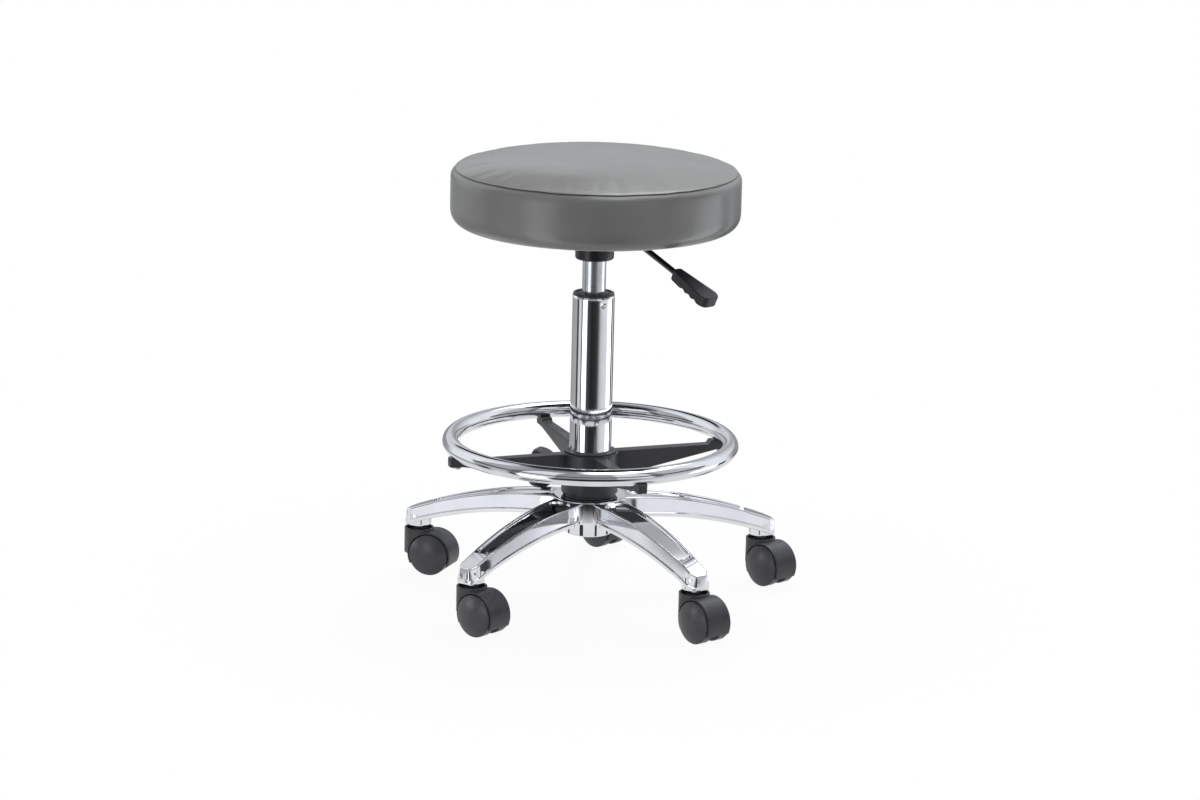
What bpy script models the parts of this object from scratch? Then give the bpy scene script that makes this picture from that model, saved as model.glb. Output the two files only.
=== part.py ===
"""Round clinic stool on a five-leg castor base, with a gas lift, release lever and clamped foot ring.

Metres, +Z up. The origin is on the floor, on the axis of the column. Run it with
blender --background --python part.py, or from the text editor.
"""

import math

import bmesh
import bpy
from mathutils import Matrix, Vector

# Clearance between faces that touch, and round pieces that turn or slide
GAP = 0.0003
RUN = 0.0004

# Castors: twin wheels under a hood, swivelling on a stem
WHEEL_R = 0.025
WHEEL_TREAD = 0.0125
WHEEL_DOME = 0.0045
WHEEL_BORE_DEPTH = 0.010
WHEEL_STEPS = 20
AXLE_R = 0.003
WEB_HALF = 0.0052
WELL_GAP = 0.0009
HOOD_WALL = 0.0016
HOOD_HALF = 0.0165
CHIN_HEIGHT = 0.0125
CASTER_TRAIL = 0.019
CUP_R = 0.018
CUP_WALL = 0.0026
CUP_RISE = 0.0011
CUP_SKIRT = 0.031
CUP_DEPTH = 0.0125
SOCKET_BOSS_R = 0.0078
STEM_PIN_R = 0.0055
STEM_PIN_LENGTH = 0.018
STEM_COLLAR_R = 0.0087
STEM_COLLAR_H = 0.0035
STEM_TAIL_R = 0.0034
STEM_TAIL_LENGTH = 0.0165
STEM_GAP = 0.0051
# Way each castor points in the picture, in degrees from +X, one for each leg
CASTER_HEADINGS = (-19.0, -40.0, -49.0, -46.0, -44.0)

# Five-leg base
LEG_COUNT = 5
FIRST_LEG = 162.0
STEM_CIRCLE_R = 0.2186
TIP_REACH = 0.0148
TIP_CHAMFER = 0.0085
BOSS_R = 0.0150
BOSS_EDGE = 0.0018
BOSS_H = 0.0244
LEG_RISE = 0.0372
LEG_ROOT_HALF = 0.0205
LEG_TIP_HALF = 0.0122
LEG_ROOT_DEPTH = 0.0240
LEG_TIP_DEPTH = 0.0190
LEG_EDGE = 0.0016
LEG_DRAFT = 0.0016
LEG_LIP = 0.0016
LEG_LIP_H = 0.0052
LEG_WALL = 0.0034
POCKET_DEPTH = 0.0026
POCKET_RIM = 0.0034
POCKET_START = 0.052
POCKET_END_MARGIN = 0.026
CAVITY_END_MARGIN = 0.023
HUB_WALL = 0.0031
HUB_SEAT_RIM = 0.0165
HUB_SLEEVE_H = 0.0464

# Column: outer tube with a tapered foot, and the plastic bush that guides the gas cylinder
COLUMN_R = 0.025
COLUMN_WALL = 0.0018
COLUMN_TAPER = 0.0008
COLUMN_SOCKET = 0.0432
COLUMN_LENGTH = 0.2872
COLUMN_FOOT_T = 0.003
BUSH_LENGTH = 0.075
BUSH_FLANGE_H = 0.0025
BUSH_FLANGE_INSET = 0.0006
DIMPLE_R = 0.0036
DIMPLE_DEPTH = 0.0010
DIMPLE_DROP = 0.0080
DIMPLE_AZIMUTH = -60.5
DIMPLE_COUNT = 3

# Gas cylinder, piston and what it stands on
CYLINDER_R = 0.014
CYLINDER_WALL = 0.0015
CYLINDER_TAPER = 0.0006
CYLINDER_HEAD = 0.016
CYLINDER_SHOWN = 0.0400
CYLINDER_SEATED = 0.014
ROD_R = 0.005
ROD_TAIL = 0.0075
PISTON_H = 0.010
PISTON_DROP = 0.006
SEAL_H = 0.012
SEAL_INSET = 0.002
BEARING_H = 0.008
BEARING_R = 0.017
BUMPER_H = 0.0406
BUMPER_R = 0.0125
CLIP_R = 0.009
CLIP_T = 0.002
BUTTON_R = 0.004
BUTTON_LENGTH = 0.0122
BUTTON_HOLE = 0.011

# Seat mount: plate and socket under the seat, with its bolts
SOCKET_R = 0.023
SOCKET_H = 0.0374
SOCKET_EDGE = 0.0035
LEVER_CHAMBER_R = 0.0185
LEVER_CHAMBER_H = 0.0157
PLATE_HALF = 0.075
PLATE_T = 0.0025
PLATE_CORNER = 0.014
BOLT_MARGIN = 0.017
BOLT_PITCH_HALF = PLATE_HALF - BOLT_MARGIN
BOLT_R = 0.003
BOLT_HEAD_R = 0.0055
BOLT_HEAD_H = 0.004
BOLT_LENGTH = 0.0145

# Seat: plywood board, dust cover, padded cushion
SEAT_R = 0.1710
SEAT_STEPS = 48
SEAT_SIDE_H = 0.0664
SEAT_CROWN = 0.0209
SEAT_BOTTOM_ROUND = 0.018
SEAM_INSET = 0.0042
SEAM_PINCH = 0.0016
SHOULDER = 0.0085
BOARD_INSET = 0.0185
BOARD_T = 0.012
WRAP_T = 0.0012
WRAP_WIDTH = 0.011
DUST_T = 0.001

# Release lever
LEVER_AZIMUTH = -43.5
LEVER_R = 0.0035
LEVER_DROP = 0.0097
LEVER_INNER = 0.010
LEVER_STRAIGHT = 0.0735
LEVER_BEND_R = 0.016
LEVER_SLOPE = 22.4
LEVER_ARM = 0.0575
GRIP_LENGTH = 0.0640
GRIP_SOCKET = 0.028
GRIP_ROOT_HALF = 0.0058
GRIP_TIP_HALF = 0.0138
GRIP_T = 0.0135
GRIP_SCALLOPS = 3
GRIP_SCALLOP_DEPTH = 0.0016

# Foot ring: chromed tube on a four-arm spider that is clamped to the column
RING_R = 0.1666
RING_TUBE_R = 0.010
RING_SEAT = 0.0012
RING_STEPS = 48
RING_SIDES = 10
LINER_WALL = 0.0032
LINER_FLANGE = 0.003
LINER_FLANGE_H = 0.003
LINER_RIM = 0.0022
LINER_RIM_H = 0.0016
SPIDER_WALL = 0.0048
SPIDER_H = 0.0497
SPIDER_EDGE = 0.0015
ARM_COUNT = 4
FIRST_ARM = 22.0
ARM_ROOT_HALF = 0.0078
ARM_TIP_HALF = 0.0062
ARM_ROOT_DEPTH = 0.0320
ARM_TIP_DEPTH = 0.0075
ARM_TOP_DROP = 0.0006
ARM_EDGE = 0.0012
ARM_TIP_REACH = 0.0105
ARM_TIP_ROUND = 0.003
ARM_TIP_NARROW = 0.0026
SADDLE_H = 0.0044
SADDLE_LENGTH = 0.0165
RING_SCREW_R = 0.002
RING_SCREW_HEAD_R = 0.0042
RING_SCREW_MARGIN = 0.0015
RING_SCREW_HEAD_H = 0.003
RING_SCREW_BITE = 0.005
KNOB_ANGLE = 135.0
KNOB_HEIGHT = 0.0207
KNOB_R = 0.0252
KNOB_ROOT_R = 0.0150
KNOB_LENGTH = 0.0265
KNOB_LOBES = 7
KNOB_LOBE_DEPTH = 0.0014
CLAMP_BOSS_R = 0.0105
CLAMP_BOSS_LENGTH = 0.0105
CLAMP_SCREW_R = 0.004
CLAMP_SCREW_BITE = 0.012

# Stack of heights, from the floor up
AXLE_Z = WHEEL_R
WELL_R = WHEEL_R / math.cos(math.pi / WHEEL_STEPS) + WELL_GAP
HOOD_R = WELL_R + HOOD_WALL
CUP_TOP = AXLE_Z + HOOD_R + CUP_RISE
BOSS_BOTTOM = CUP_TOP + STEM_GAP
TIP_TOP = BOSS_BOTTOM + BOSS_H
HUB_TOP = TIP_TOP + LEG_RISE
HUB_BOTTOM = HUB_TOP - HUB_SLEEVE_H
COLUMN_BOTTOM = HUB_TOP - COLUMN_SOCKET
COLUMN_TOP = COLUMN_BOTTOM + COLUMN_LENGTH
BUSH_TOP = COLUMN_TOP + GAP + BUSH_FLANGE_H
SOCKET_BOTTOM = BUSH_TOP + CYLINDER_SHOWN
CYLINDER_TOP = SOCKET_BOTTOM + CYLINDER_SEATED
PLATE_BOTTOM = SOCKET_BOTTOM + SOCKET_H
PLATE_TOP = PLATE_BOTTOM + PLATE_T
DUST_BOTTOM = PLATE_TOP + GAP
BOARD_BOTTOM = DUST_BOTTOM + DUST_T + GAP
BOARD_TOP = BOARD_BOTTOM + BOARD_T
SEAT_BOTTOM = BOARD_BOTTOM - GAP - WRAP_T
SEAM_Z = SEAT_BOTTOM + SEAT_SIDE_H
LEVER_Z = PLATE_BOTTOM - LEVER_DROP
LINER_BOTTOM = HUB_TOP + GAP
SPIDER_BOTTOM = LINER_BOTTOM + LINER_FLANGE_H + GAP
SPIDER_TOP = SPIDER_BOTTOM + SPIDER_H
ARM_TOP = SPIDER_TOP - ARM_TOP_DROP
RING_Z = ARM_TOP + RING_SEAT + RING_TUBE_R
KNOB_Z = SPIDER_BOTTOM + KNOB_HEIGHT

# Radii that follow from the column
LINER_IN = COLUMN_R + RUN
LINER_OUT = LINER_IN + LINER_WALL
SPIDER_IN = LINER_OUT + RUN
SPIDER_OUT = SPIDER_IN + SPIDER_WALL
KNOB_START = SPIDER_OUT + CLAMP_BOSS_LENGTH + GAP

for old in list(bpy.data.objects):
    bpy.data.objects.remove(old, do_unlink=True)

PARTS = bpy.data.collections.new("clinic_stool")
CUTTERS = bpy.data.collections.new("clinic_stool_cutters")
for group in (PARTS, CUTTERS):
    bpy.context.scene.collection.children.link(group)


def material(name, colour, roughness, metallic):
    made = bpy.data.materials.new(name)
    made.use_nodes = True
    shader = made.node_tree.nodes["Principled BSDF"]
    shader.inputs["Base Color"].default_value = (*colour, 1.0)
    shader.inputs["Roughness"].default_value = roughness
    shader.inputs["Metallic"].default_value = metallic
    return made


LOOKS = {
    "chrome": ((0.80, 0.81, 0.82), 0.08, 1.0),
    "steel": ((0.55, 0.56, 0.57), 0.30, 1.0),
    "black_steel": ((0.03, 0.03, 0.03), 0.35, 0.6),
    "black_plastic": ((0.025, 0.025, 0.027), 0.45, 0.0),
    "castor_plastic": ((0.055, 0.056, 0.060), 0.48, 0.0),
    "rubber": ((0.02, 0.02, 0.02), 0.80, 0.0),
    "plywood": ((0.55, 0.40, 0.24), 0.65, 0.0),
    "cover_cloth": ((0.02, 0.02, 0.02), 0.90, 0.0),
    "grey_vinyl": ((0.17, 0.17, 0.175), 0.42, 0.0),
}


def part(name, mesh, look, parent=None, matrix=None):
    """Adds a finished piece with a material of its own."""
    obj = bpy.data.objects.new(name, mesh)
    PARTS.objects.link(obj)
    obj.data.materials.clear()
    obj.data.materials.append(material(name + "_" + look, *LOOKS[look]))
    if matrix is not None:
        obj.matrix_world = matrix
    if parent is not None:
        obj.parent = parent
    return obj


def pivot(name, location, turn=0.0):
    """An empty on a joint's axis, for the pieces that move about it."""
    empty = bpy.data.objects.new(name, None)
    empty.empty_display_size = 0.03
    empty.location = location
    empty.rotation_euler = (0, 0, turn)
    PARTS.objects.link(empty)
    bpy.context.view_layer.update()
    return empty


def helper(name, mesh, matrix=None):
    """A cutter, or a piece that is about to be joined to another."""
    obj = bpy.data.objects.new(name, mesh)
    CUTTERS.objects.link(obj)
    obj.hide_render = True
    obj.display_type = "WIRE"
    if matrix is not None:
        obj.matrix_world = matrix
    return obj


def boolean(obj, other, operation):
    step = obj.modifiers.new(other.name, "BOOLEAN")
    step.operation = operation
    step.solver = "EXACT"
    step.object = other
    return obj


def cut(obj, *others):
    for other in others:
        boolean(obj, other, "DIFFERENCE")
    return obj


def join(obj, *others):
    for other in others:
        boolean(obj, other, "UNION")
    return obj


def baked(obj, angle=35.0):
    """The mesh of an object with its modifiers applied, with round faces smooth and edges sharp."""
    bpy.context.view_layer.update()
    graph = bpy.context.evaluated_depsgraph_get()
    mesh = bpy.data.meshes.new_from_object(obj.evaluated_get(graph))
    mesh.transform(obj.matrix_world)
    shell = bmesh.new()
    shell.from_mesh(mesh)
    bmesh.ops.remove_doubles(shell, verts=shell.verts, dist=1e-6)
    shell.to_mesh(mesh)
    shell.free()
    mesh.shade_smooth()
    mesh.set_sharp_from_angle(angle=math.radians(angle))
    return mesh


def used_up(*objects):
    """Removes helpers once the mesh that they shaped is baked."""
    for obj in objects:
        bpy.data.objects.remove(obj, do_unlink=True)


def turned(profile, steps, name="turned"):
    """Revolves (radius, height) points about Z. They run from the top down the outer side.
    A profile that doesn't start on the axis is a closed ring section."""
    shell = bmesh.new()
    points = [shell.verts.new((r, 0.0, z)) for r, z in profile]
    pairs = list(zip(points, points[1:]))
    if profile[0][0] > 0:
        pairs.append((points[-1], points[0]))
    for pair in pairs:
        shell.edges.new(pair)
    mesh = bpy.data.meshes.new(name)
    shell.to_mesh(mesh)
    shell.free()
    obj = helper(name, mesh)
    screw = obj.modifiers.new("revolve", "SCREW")
    screw.axis = "Z"
    screw.steps = steps
    screw.render_steps = steps
    screw.use_merge_vertices = True
    screw.merge_threshold = 0.00001
    made = baked(obj)
    used_up(obj)
    return made


def rod(radius, low, high, steps=24):
    """A plain cylinder along Z."""
    return turned([(0, high), (radius, high), (radius, low), (0, low)], steps, "rod")


def block(low, high):
    """A box between two corners."""
    shell = bmesh.new()
    low, high = Vector(low), Vector(high)
    size = Matrix.Diagonal((*(high - low), 1.0))
    bmesh.ops.create_cube(shell, size=1.0, matrix=Matrix.Translation((low + high) / 2) @ size)
    mesh = bpy.data.meshes.new("block")
    shell.to_mesh(mesh)
    shell.free()
    return mesh


def loft(rings, name="loft"):
    """A skin over rings of equal length, closed at both ends."""
    shell = bmesh.new()
    rows = [[shell.verts.new(p) for p in ring] for ring in rings]
    count = len(rows[0])
    for a, b in zip(rows, rows[1:]):
        for i in range(count):
            j = (i + 1) % count
            shell.faces.new((a[i], a[j], b[j], b[i]))
    shell.faces.new(rows[0][::-1])
    shell.faces.new(rows[-1])
    bmesh.ops.recalc_face_normals(shell, faces=shell.faces)
    mesh = bpy.data.meshes.new(name)
    shell.to_mesh(mesh)
    shell.free()
    mesh.shade_smooth()
    mesh.set_sharp_from_angle(angle=math.radians(35))
    return mesh


def mirrored(half):
    """A section from its right half, from the top middle to the bottom middle, as (across, height)."""
    return half + [(-y, z) for y, z in reversed(half) if y > 0]


def blend(a, b, t):
    return a + (b - a) * t


def about_z(degrees):
    return Matrix.Rotation(math.radians(degrees), 4, "Z")


def along(direction, point):
    """A frame at a point whose Z runs along a direction."""
    turn = Vector((0, 0, 1)).rotation_difference(Vector(direction)).to_matrix().to_4x4()
    return Matrix.Translation(point) @ turn


def radial(degrees, radius, z):
    """A frame whose Z points outwards from the column."""
    a = math.radians(degrees)
    outwards = (math.cos(a), math.sin(a), 0)
    return along(outwards, (radius * outwards[0], radius * outwards[1], z))


# Base: legs, hub and castor sockets in one casting


def column_outside(z):
    """Outer radius of the column tube, which narrows inside the hub."""
    t = min(max((HUB_TOP - z) / COLUMN_SOCKET, 0.0), 1.0)
    return COLUMN_R - COLUMN_TAPER * t


def leg_crest(r):
    root = COLUMN_R + HUB_WALL
    t = max(r - root, 0.0) / (STEM_CIRCLE_R - root)
    return HUB_TOP - 0.0008 - (LEG_RISE - 0.0008) * t * t


def leg_half(r):
    t = (r - POCKET_START) / (STEM_CIRCLE_R - POCKET_START)
    return blend(LEG_ROOT_HALF, LEG_TIP_HALF, min(max(t, -0.25), 1.1))


def leg_depth(r):
    t = (r - POCKET_START) / (STEM_CIRCLE_R - POCKET_START)
    return blend(LEG_ROOT_DEPTH, LEG_TIP_DEPTH, min(max(t, 0.0), 1.0))


def leg_section(r, narrow=0.0):
    """Inverted channel with a drafted side and a lip along its lower edge."""
    top, half = leg_crest(r), leg_half(r) - narrow
    low = top - leg_depth(r)
    foot = half + LEG_DRAFT
    outline = [
        (0.0, top),
        (half - LEG_EDGE, top),
        (half, top - LEG_EDGE),
        (foot, low + LEG_LIP_H),
        (foot + LEG_LIP, low + LEG_LIP_H - LEG_LIP / 2),
        (foot + LEG_LIP, low),
        (0.0, low),
    ]
    return [(r, y, z) for y, z in mirrored(outline)]


def stations(start, end, count):
    return [blend(start, end, i / (count - 1)) for i in range(count)]


def leg_mesh():
    """One leg along +X, hollow below, with a long tapered pocket on top and a socket at its tip."""
    tip = STEM_CIRCLE_R + TIP_REACH
    rings = [leg_section(r) for r in stations(COLUMN_R, tip - TIP_CHAMFER, 7)]
    rings.append(leg_section(tip, TIP_CHAMFER * 0.62))
    leg = helper("leg", loft(rings))
    boss_top = leg_crest(tip) - LEG_EDGE
    boss = helper(
        "boss",
        turned(
            [
                (0, boss_top),
                (BOSS_R, boss_top),
                (BOSS_R, BOSS_BOTTOM + BOSS_EDGE),
                (BOSS_R - BOSS_EDGE, BOSS_BOTTOM),
                (0, BOSS_BOTTOM),
            ],
            8,
        ),
        Matrix.Translation((STEM_CIRCLE_R, 0, 0)) @ about_z(22.5),
    )
    cavity_end = STEM_CIRCLE_R - CAVITY_END_MARGIN
    cavity_rings = []
    for r in stations(COLUMN_R + HUB_SEAT_RIM + LEG_WALL, cavity_end, 3):
        half = leg_half(r) - LEG_WALL
        top = leg_crest(r) - POCKET_DEPTH - LEG_WALL
        low = leg_crest(r) - leg_depth(r) - 0.01
        foot = half + LEG_DRAFT
        cavity_rings.append([(r, half, top), (r, foot, low), (r, -foot, low), (r, -half, top)])
    cavity = helper("cavity", loft(cavity_rings))
    pocket_end = STEM_CIRCLE_R - POCKET_END_MARGIN
    pocket_rings = []
    for r in stations(POCKET_START, pocket_end, 5):
        pocket_rings.append((r, leg_half(r) - POCKET_RIM))
    end_half = pocket_rings[-1][1]
    for lean in (35, 70):
        a = math.radians(lean)
        pocket_rings.append((pocket_end + end_half * math.sin(a), end_half * math.cos(a)))
    rings = []
    for r, half in pocket_rings:
        floor = leg_crest(r) - POCKET_DEPTH
        top = leg_crest(r) + 0.01
        foot = half - POCKET_DEPTH / 4
        rings.append([(r, half, top), (r, foot, floor), (r, -foot, floor), (r, -half, top)])
    pocket = helper("pocket", loft(rings))
    hole = helper(
        "stem_hole",
        rod(STEM_PIN_R + GAP, BOSS_BOTTOM - 0.01, BOSS_BOTTOM + STEM_PIN_LENGTH + 2 * GAP, 12),
        Matrix.Translation((STEM_CIRCLE_R, 0, 0)),
    )
    join(leg, boss)
    cut(leg, cavity, pocket, hole)
    made = baked(leg)
    used_up(leg, boss, cavity, pocket, hole)
    return made


def base():
    leg = leg_mesh()
    sleeve = COLUMN_R - COLUMN_TAPER + GAP + HUB_WALL
    rim = COLUMN_R + HUB_SEAT_RIM
    skirt = HUB_TOP - LEG_ROOT_DEPTH
    hub = helper(
        "hub",
        turned(
            [
                (0, HUB_TOP),
                (rim - 0.001, HUB_TOP),
                (rim, HUB_TOP - 0.001),
                (rim, skirt - 0.002),
                (sleeve, skirt - 0.006),
                (sleeve, HUB_BOTTOM + 0.001),
                (sleeve - 0.001, HUB_BOTTOM),
                (0, HUB_BOTTOM),
            ],
            36,
        ),
    )
    legs = []
    for i in range(LEG_COUNT):
        legs.append(helper("leg_%d" % (i + 1), leg, about_z(FIRST_LEG + i * 360 / LEG_COUNT)))
    heights = (HUB_TOP + 0.02, HUB_TOP, COLUMN_BOTTOM, HUB_BOTTOM - 0.02)
    wall = [(column_outside(z) + GAP, z) for z in heights]
    bore = helper("bore", turned([(0, heights[0]), *wall, (0, heights[-1])], 36))
    join(hub, *legs)
    cut(hub, bore)
    part("base_star", baked(hub), "chrome")
    used_up(hub, bore, *legs)


# Castors


def stem_profile():
    top = BOSS_BOTTOM + STEM_PIN_LENGTH
    collar_top = BOSS_BOTTOM - GAP
    collar_low = collar_top - STEM_COLLAR_H
    tail = collar_low - STEM_TAIL_LENGTH
    return [
        (0, top),
        (STEM_PIN_R - 0.001, top),
        (STEM_PIN_R, top - 0.0015),
        (STEM_PIN_R, collar_top),
        (STEM_COLLAR_R, collar_top),
        (STEM_COLLAR_R, collar_low),
        (STEM_TAIL_R, collar_low),
        (STEM_TAIL_R, tail),
        (0, tail),
    ]


def hood_mesh():
    """Hood of one castor: fender over both wheels, web between them, and the cup for the stem.
    The stem is on Z and the castor points along +X."""
    axle = Matrix.Translation((CASTER_TRAIL, 0, AXLE_Z)) @ Matrix.Rotation(math.pi / 2, 4, "X")
    seat_top = BOSS_BOTTOM - 2 * GAP - STEM_COLLAR_H
    skirt = CUP_TOP - CUP_SKIRT
    floor = CUP_TOP - CUP_DEPTH
    fender = helper("fender", rod(HOOD_R, -HOOD_HALF, HOOD_HALF, 24), axle)
    cup = helper(
        "cup",
        turned(
            [
                (0, seat_top),
                (SOCKET_BOSS_R, seat_top),
                (SOCKET_BOSS_R, floor),
                (CUP_R - CUP_WALL, floor),
                (CUP_R - CUP_WALL, CUP_TOP),
                (CUP_R, CUP_TOP),
                (CUP_R, skirt),
                (0, skirt),
            ],
            18,
        ),
    )
    wells = []
    for side in (-1, 1):
        reach = sorted((side * WEB_HALF, side * 0.05))
        wells.append(helper("well", rod(WELL_R, *reach, 24), axle))
    chin = helper("chin", block((-0.1, -0.1, -0.1), (0.1, 0.1, CHIN_HEIGHT)))
    stem_low = BOSS_BOTTOM - GAP - STEM_COLLAR_H - STEM_TAIL_LENGTH - 2 * GAP
    stem_hole = helper("stem_hole", rod(STEM_TAIL_R + RUN, stem_low, CUP_TOP + 0.03, 12), about_z(7))
    axle_hole = helper("axle_hole", rod(AXLE_R + GAP, -0.05, 0.05, 12), axle)
    join(fender, cup)
    cut(fender, *wells, chin, stem_hole, axle_hole)
    made = baked(fender)
    used_up(fender, cup, *wells, chin, stem_hole, axle_hole)
    return made


def wheel_mesh():
    """Wheel with a domed outer face. Its inner face is at height 0, its axle along Z."""
    r = WHEEL_R / math.cos(math.pi / WHEEL_STEPS)
    edge = WHEEL_TREAD - 0.0018
    profile = [
        (0, WHEEL_TREAD + WHEEL_DOME),
        (r * 0.50, WHEEL_TREAD + WHEEL_DOME * 0.78),
        (r * 0.91, WHEEL_TREAD),
        (r, edge),
        (r, 0),
        (AXLE_R + RUN, 0),
        (AXLE_R + RUN, WHEEL_BORE_DEPTH),
        (0, WHEEL_BORE_DEPTH),
    ]
    return turned(profile, WHEEL_STEPS, "wheel")


def castors():
    stem = turned(stem_profile(), 12, "stem")
    hood = hood_mesh()
    wheel = wheel_mesh()
    reach = WEB_HALF + RUN * 2 + WHEEL_BORE_DEPTH - 2 * GAP
    axle = rod(AXLE_R, -reach, reach, 12)
    flat = Matrix.Rotation(math.pi / WHEEL_STEPS, 4, "Z")
    for i, heading in enumerate(CASTER_HEADINGS[:LEG_COUNT]):
        a = math.radians(FIRST_LEG + i * 360 / LEG_COUNT)
        place = (STEM_CIRCLE_R * math.cos(a), STEM_CIRCLE_R * math.sin(a), 0)
        n = i + 1
        part("caster_stem_%d" % n, stem.copy(), "steel", None, Matrix.Translation(place))
        swivel = pivot("caster_pivot_%d" % n, place, math.radians(heading))
        part("caster_hood_%d" % n, hood.copy(), "castor_plastic", swivel)
        lying = Matrix.Translation((CASTER_TRAIL, 0, AXLE_Z)) @ Matrix.Rotation(math.pi / 2, 4, "X")
        part("caster_axle_%d" % n, axle.copy(), "steel", swivel, lying)
        for side, turn in (("left", -1), ("right", 1)):
            inner = Matrix.Translation((CASTER_TRAIL, -turn * (WEB_HALF + 2 * RUN), AXLE_Z))
            wheel_place = inner @ Matrix.Rotation(turn * math.pi / 2, 4, "X") @ flat
            name = "caster_wheel_%s_%d" % (side, n)
            part(name, wheel.copy(), "castor_plastic", swivel, wheel_place)


# Column and gas spring


def column():
    inside = COLUMN_R - COLUMN_WALL
    foot = COLUMN_R - COLUMN_TAPER
    hole = ROD_R + 2 * RUN
    profile = [
        (COLUMN_R, COLUMN_TOP),
        (COLUMN_R, HUB_TOP),
        (foot + COLUMN_TAPER * 0.05, COLUMN_BOTTOM + COLUMN_SOCKET * 0.05),
        (foot - 0.0015, COLUMN_BOTTOM),
        (hole, COLUMN_BOTTOM),
        (hole, COLUMN_BOTTOM + COLUMN_FOOT_T),
        (foot - COLUMN_WALL, COLUMN_BOTTOM + COLUMN_FOOT_T),
        (inside, HUB_TOP),
        (inside, COLUMN_TOP),
    ]
    tube = helper("tube", turned(profile, 30))
    dimples = []
    for i in range(DIMPLE_COUNT):
        shell = bmesh.new()
        bmesh.ops.create_uvsphere(shell, u_segments=8, v_segments=6, radius=DIMPLE_R)
        mesh = bpy.data.meshes.new("dimple")
        shell.to_mesh(mesh)
        shell.free()
        away = COLUMN_R + DIMPLE_R - DIMPLE_DEPTH
        frame = radial(DIMPLE_AZIMUTH + i * 360 / DIMPLE_COUNT, away, COLUMN_TOP - DIMPLE_DROP)
        dimples.append(helper("dimple", mesh, frame))
    cut(tube, *dimples)
    part("column_tube", baked(tube), "chrome")
    used_up(tube, *dimples)

    guide = CYLINDER_R + RUN
    flange = COLUMN_R - BUSH_FLANGE_INSET
    bush = [
        (guide, BUSH_TOP),
        (flange - 0.0012, BUSH_TOP),
        (flange, BUSH_TOP - 0.0012),
        (flange, COLUMN_TOP + GAP),
        (inside - GAP, COLUMN_TOP + GAP),
        (inside - GAP, COLUMN_TOP - BUSH_LENGTH),
        (guide, COLUMN_TOP - BUSH_LENGTH),
    ]
    part("guide_bush", turned(bush, 32, "bush"), "black_plastic")


def gas_spring():
    bearing_low = COLUMN_BOTTOM + COLUMN_FOOT_T + GAP
    bumper_low = bearing_low + BEARING_H + GAP
    bumper_top = bumper_low + BUMPER_H
    low = bumper_top + GAP
    inside = CYLINDER_R - CYLINDER_WALL
    head = CYLINDER_TOP - CYLINDER_HEAD
    part(
        "gas_cylinder",
        turned(
            [
                (0, CYLINDER_TOP - BUTTON_HOLE),
                (BUTTON_R + GAP, CYLINDER_TOP - BUTTON_HOLE),
                (BUTTON_R + GAP, CYLINDER_TOP),
                (CYLINDER_R - CYLINDER_TAPER, CYLINDER_TOP),
                (CYLINDER_R, SOCKET_BOTTOM),
                (CYLINDER_R, low),
                (inside, low),
                (inside, head),
                (0, head),
            ],
            28,
            "cylinder",
        ),
        "chrome",
    )
    button_top = LEVER_Z - LEVER_R - GAP
    part("release_button", rod(BUTTON_R, button_top - BUTTON_LENGTH, button_top, 16), "steel")
    bore = ROD_R + RUN
    seal_low = low + SEAL_INSET
    seal = [
        (inside - GAP, seal_low + SEAL_H),
        (inside - GAP, seal_low),
        (bore, seal_low),
        (bore, seal_low + SEAL_H),
    ]
    part("rod_seal", turned(seal, 20, "seal"), "rubber")
    piston_top = head - PISTON_DROP
    part("piston_head", rod(inside - RUN, piston_top - PISTON_H, piston_top, 20), "steel")
    rod_low = COLUMN_BOTTOM - ROD_TAIL
    groove_top = COLUMN_BOTTOM - GAP
    groove_low = groove_top - CLIP_T - 2 * GAP
    neck = ROD_R * 0.8
    shaft = [
        (0, piston_top - PISTON_H - GAP),
        (ROD_R, piston_top - PISTON_H - GAP),
        (ROD_R, groove_top),
        (neck, groove_top),
        (neck, groove_low),
        (ROD_R, groove_low),
        (ROD_R, rod_low),
        (0, rod_low),
    ]
    part("piston_rod", turned(shaft, 16, "shaft"), "steel")
    clip = [
        (CLIP_R, groove_top - GAP),
        (CLIP_R, groove_top - GAP - CLIP_T),
        (neck + GAP, groove_top - GAP - CLIP_T),
        (neck + GAP, groove_top - GAP),
    ]
    part("retaining_clip", turned(clip, 16, "clip"), "steel")
    bearing = [
        (BEARING_R, bearing_low + BEARING_H),
        (BEARING_R, bearing_low + BEARING_H * 0.66),
        (BEARING_R - 0.0012, bearing_low + BEARING_H * 0.5),
        (BEARING_R, bearing_low + BEARING_H * 0.34),
        (BEARING_R, bearing_low),
        (bore, bearing_low),
        (bore, bearing_low + BEARING_H),
    ]
    part("thrust_bearing", turned(bearing, 20, "bearing"), "steel")
    bumper = [
        (BUMPER_R - 0.0015, bumper_top),
        (BUMPER_R, bumper_top - 0.0015),
        (BUMPER_R, bumper_low),
        (bore, bumper_low),
        (bore, bumper_top),
    ]
    part("bump_stop", turned(bumper, 20, "bumper"), "rubber")


# Seat mount, bolts, board, cushion


def bolt_places():
    corners = ((1, 1), (-1, 1), (-1, -1), (1, -1))
    return [(x * BOLT_PITCH_HALF, y * BOLT_PITCH_HALF) for x, y in corners]


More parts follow.
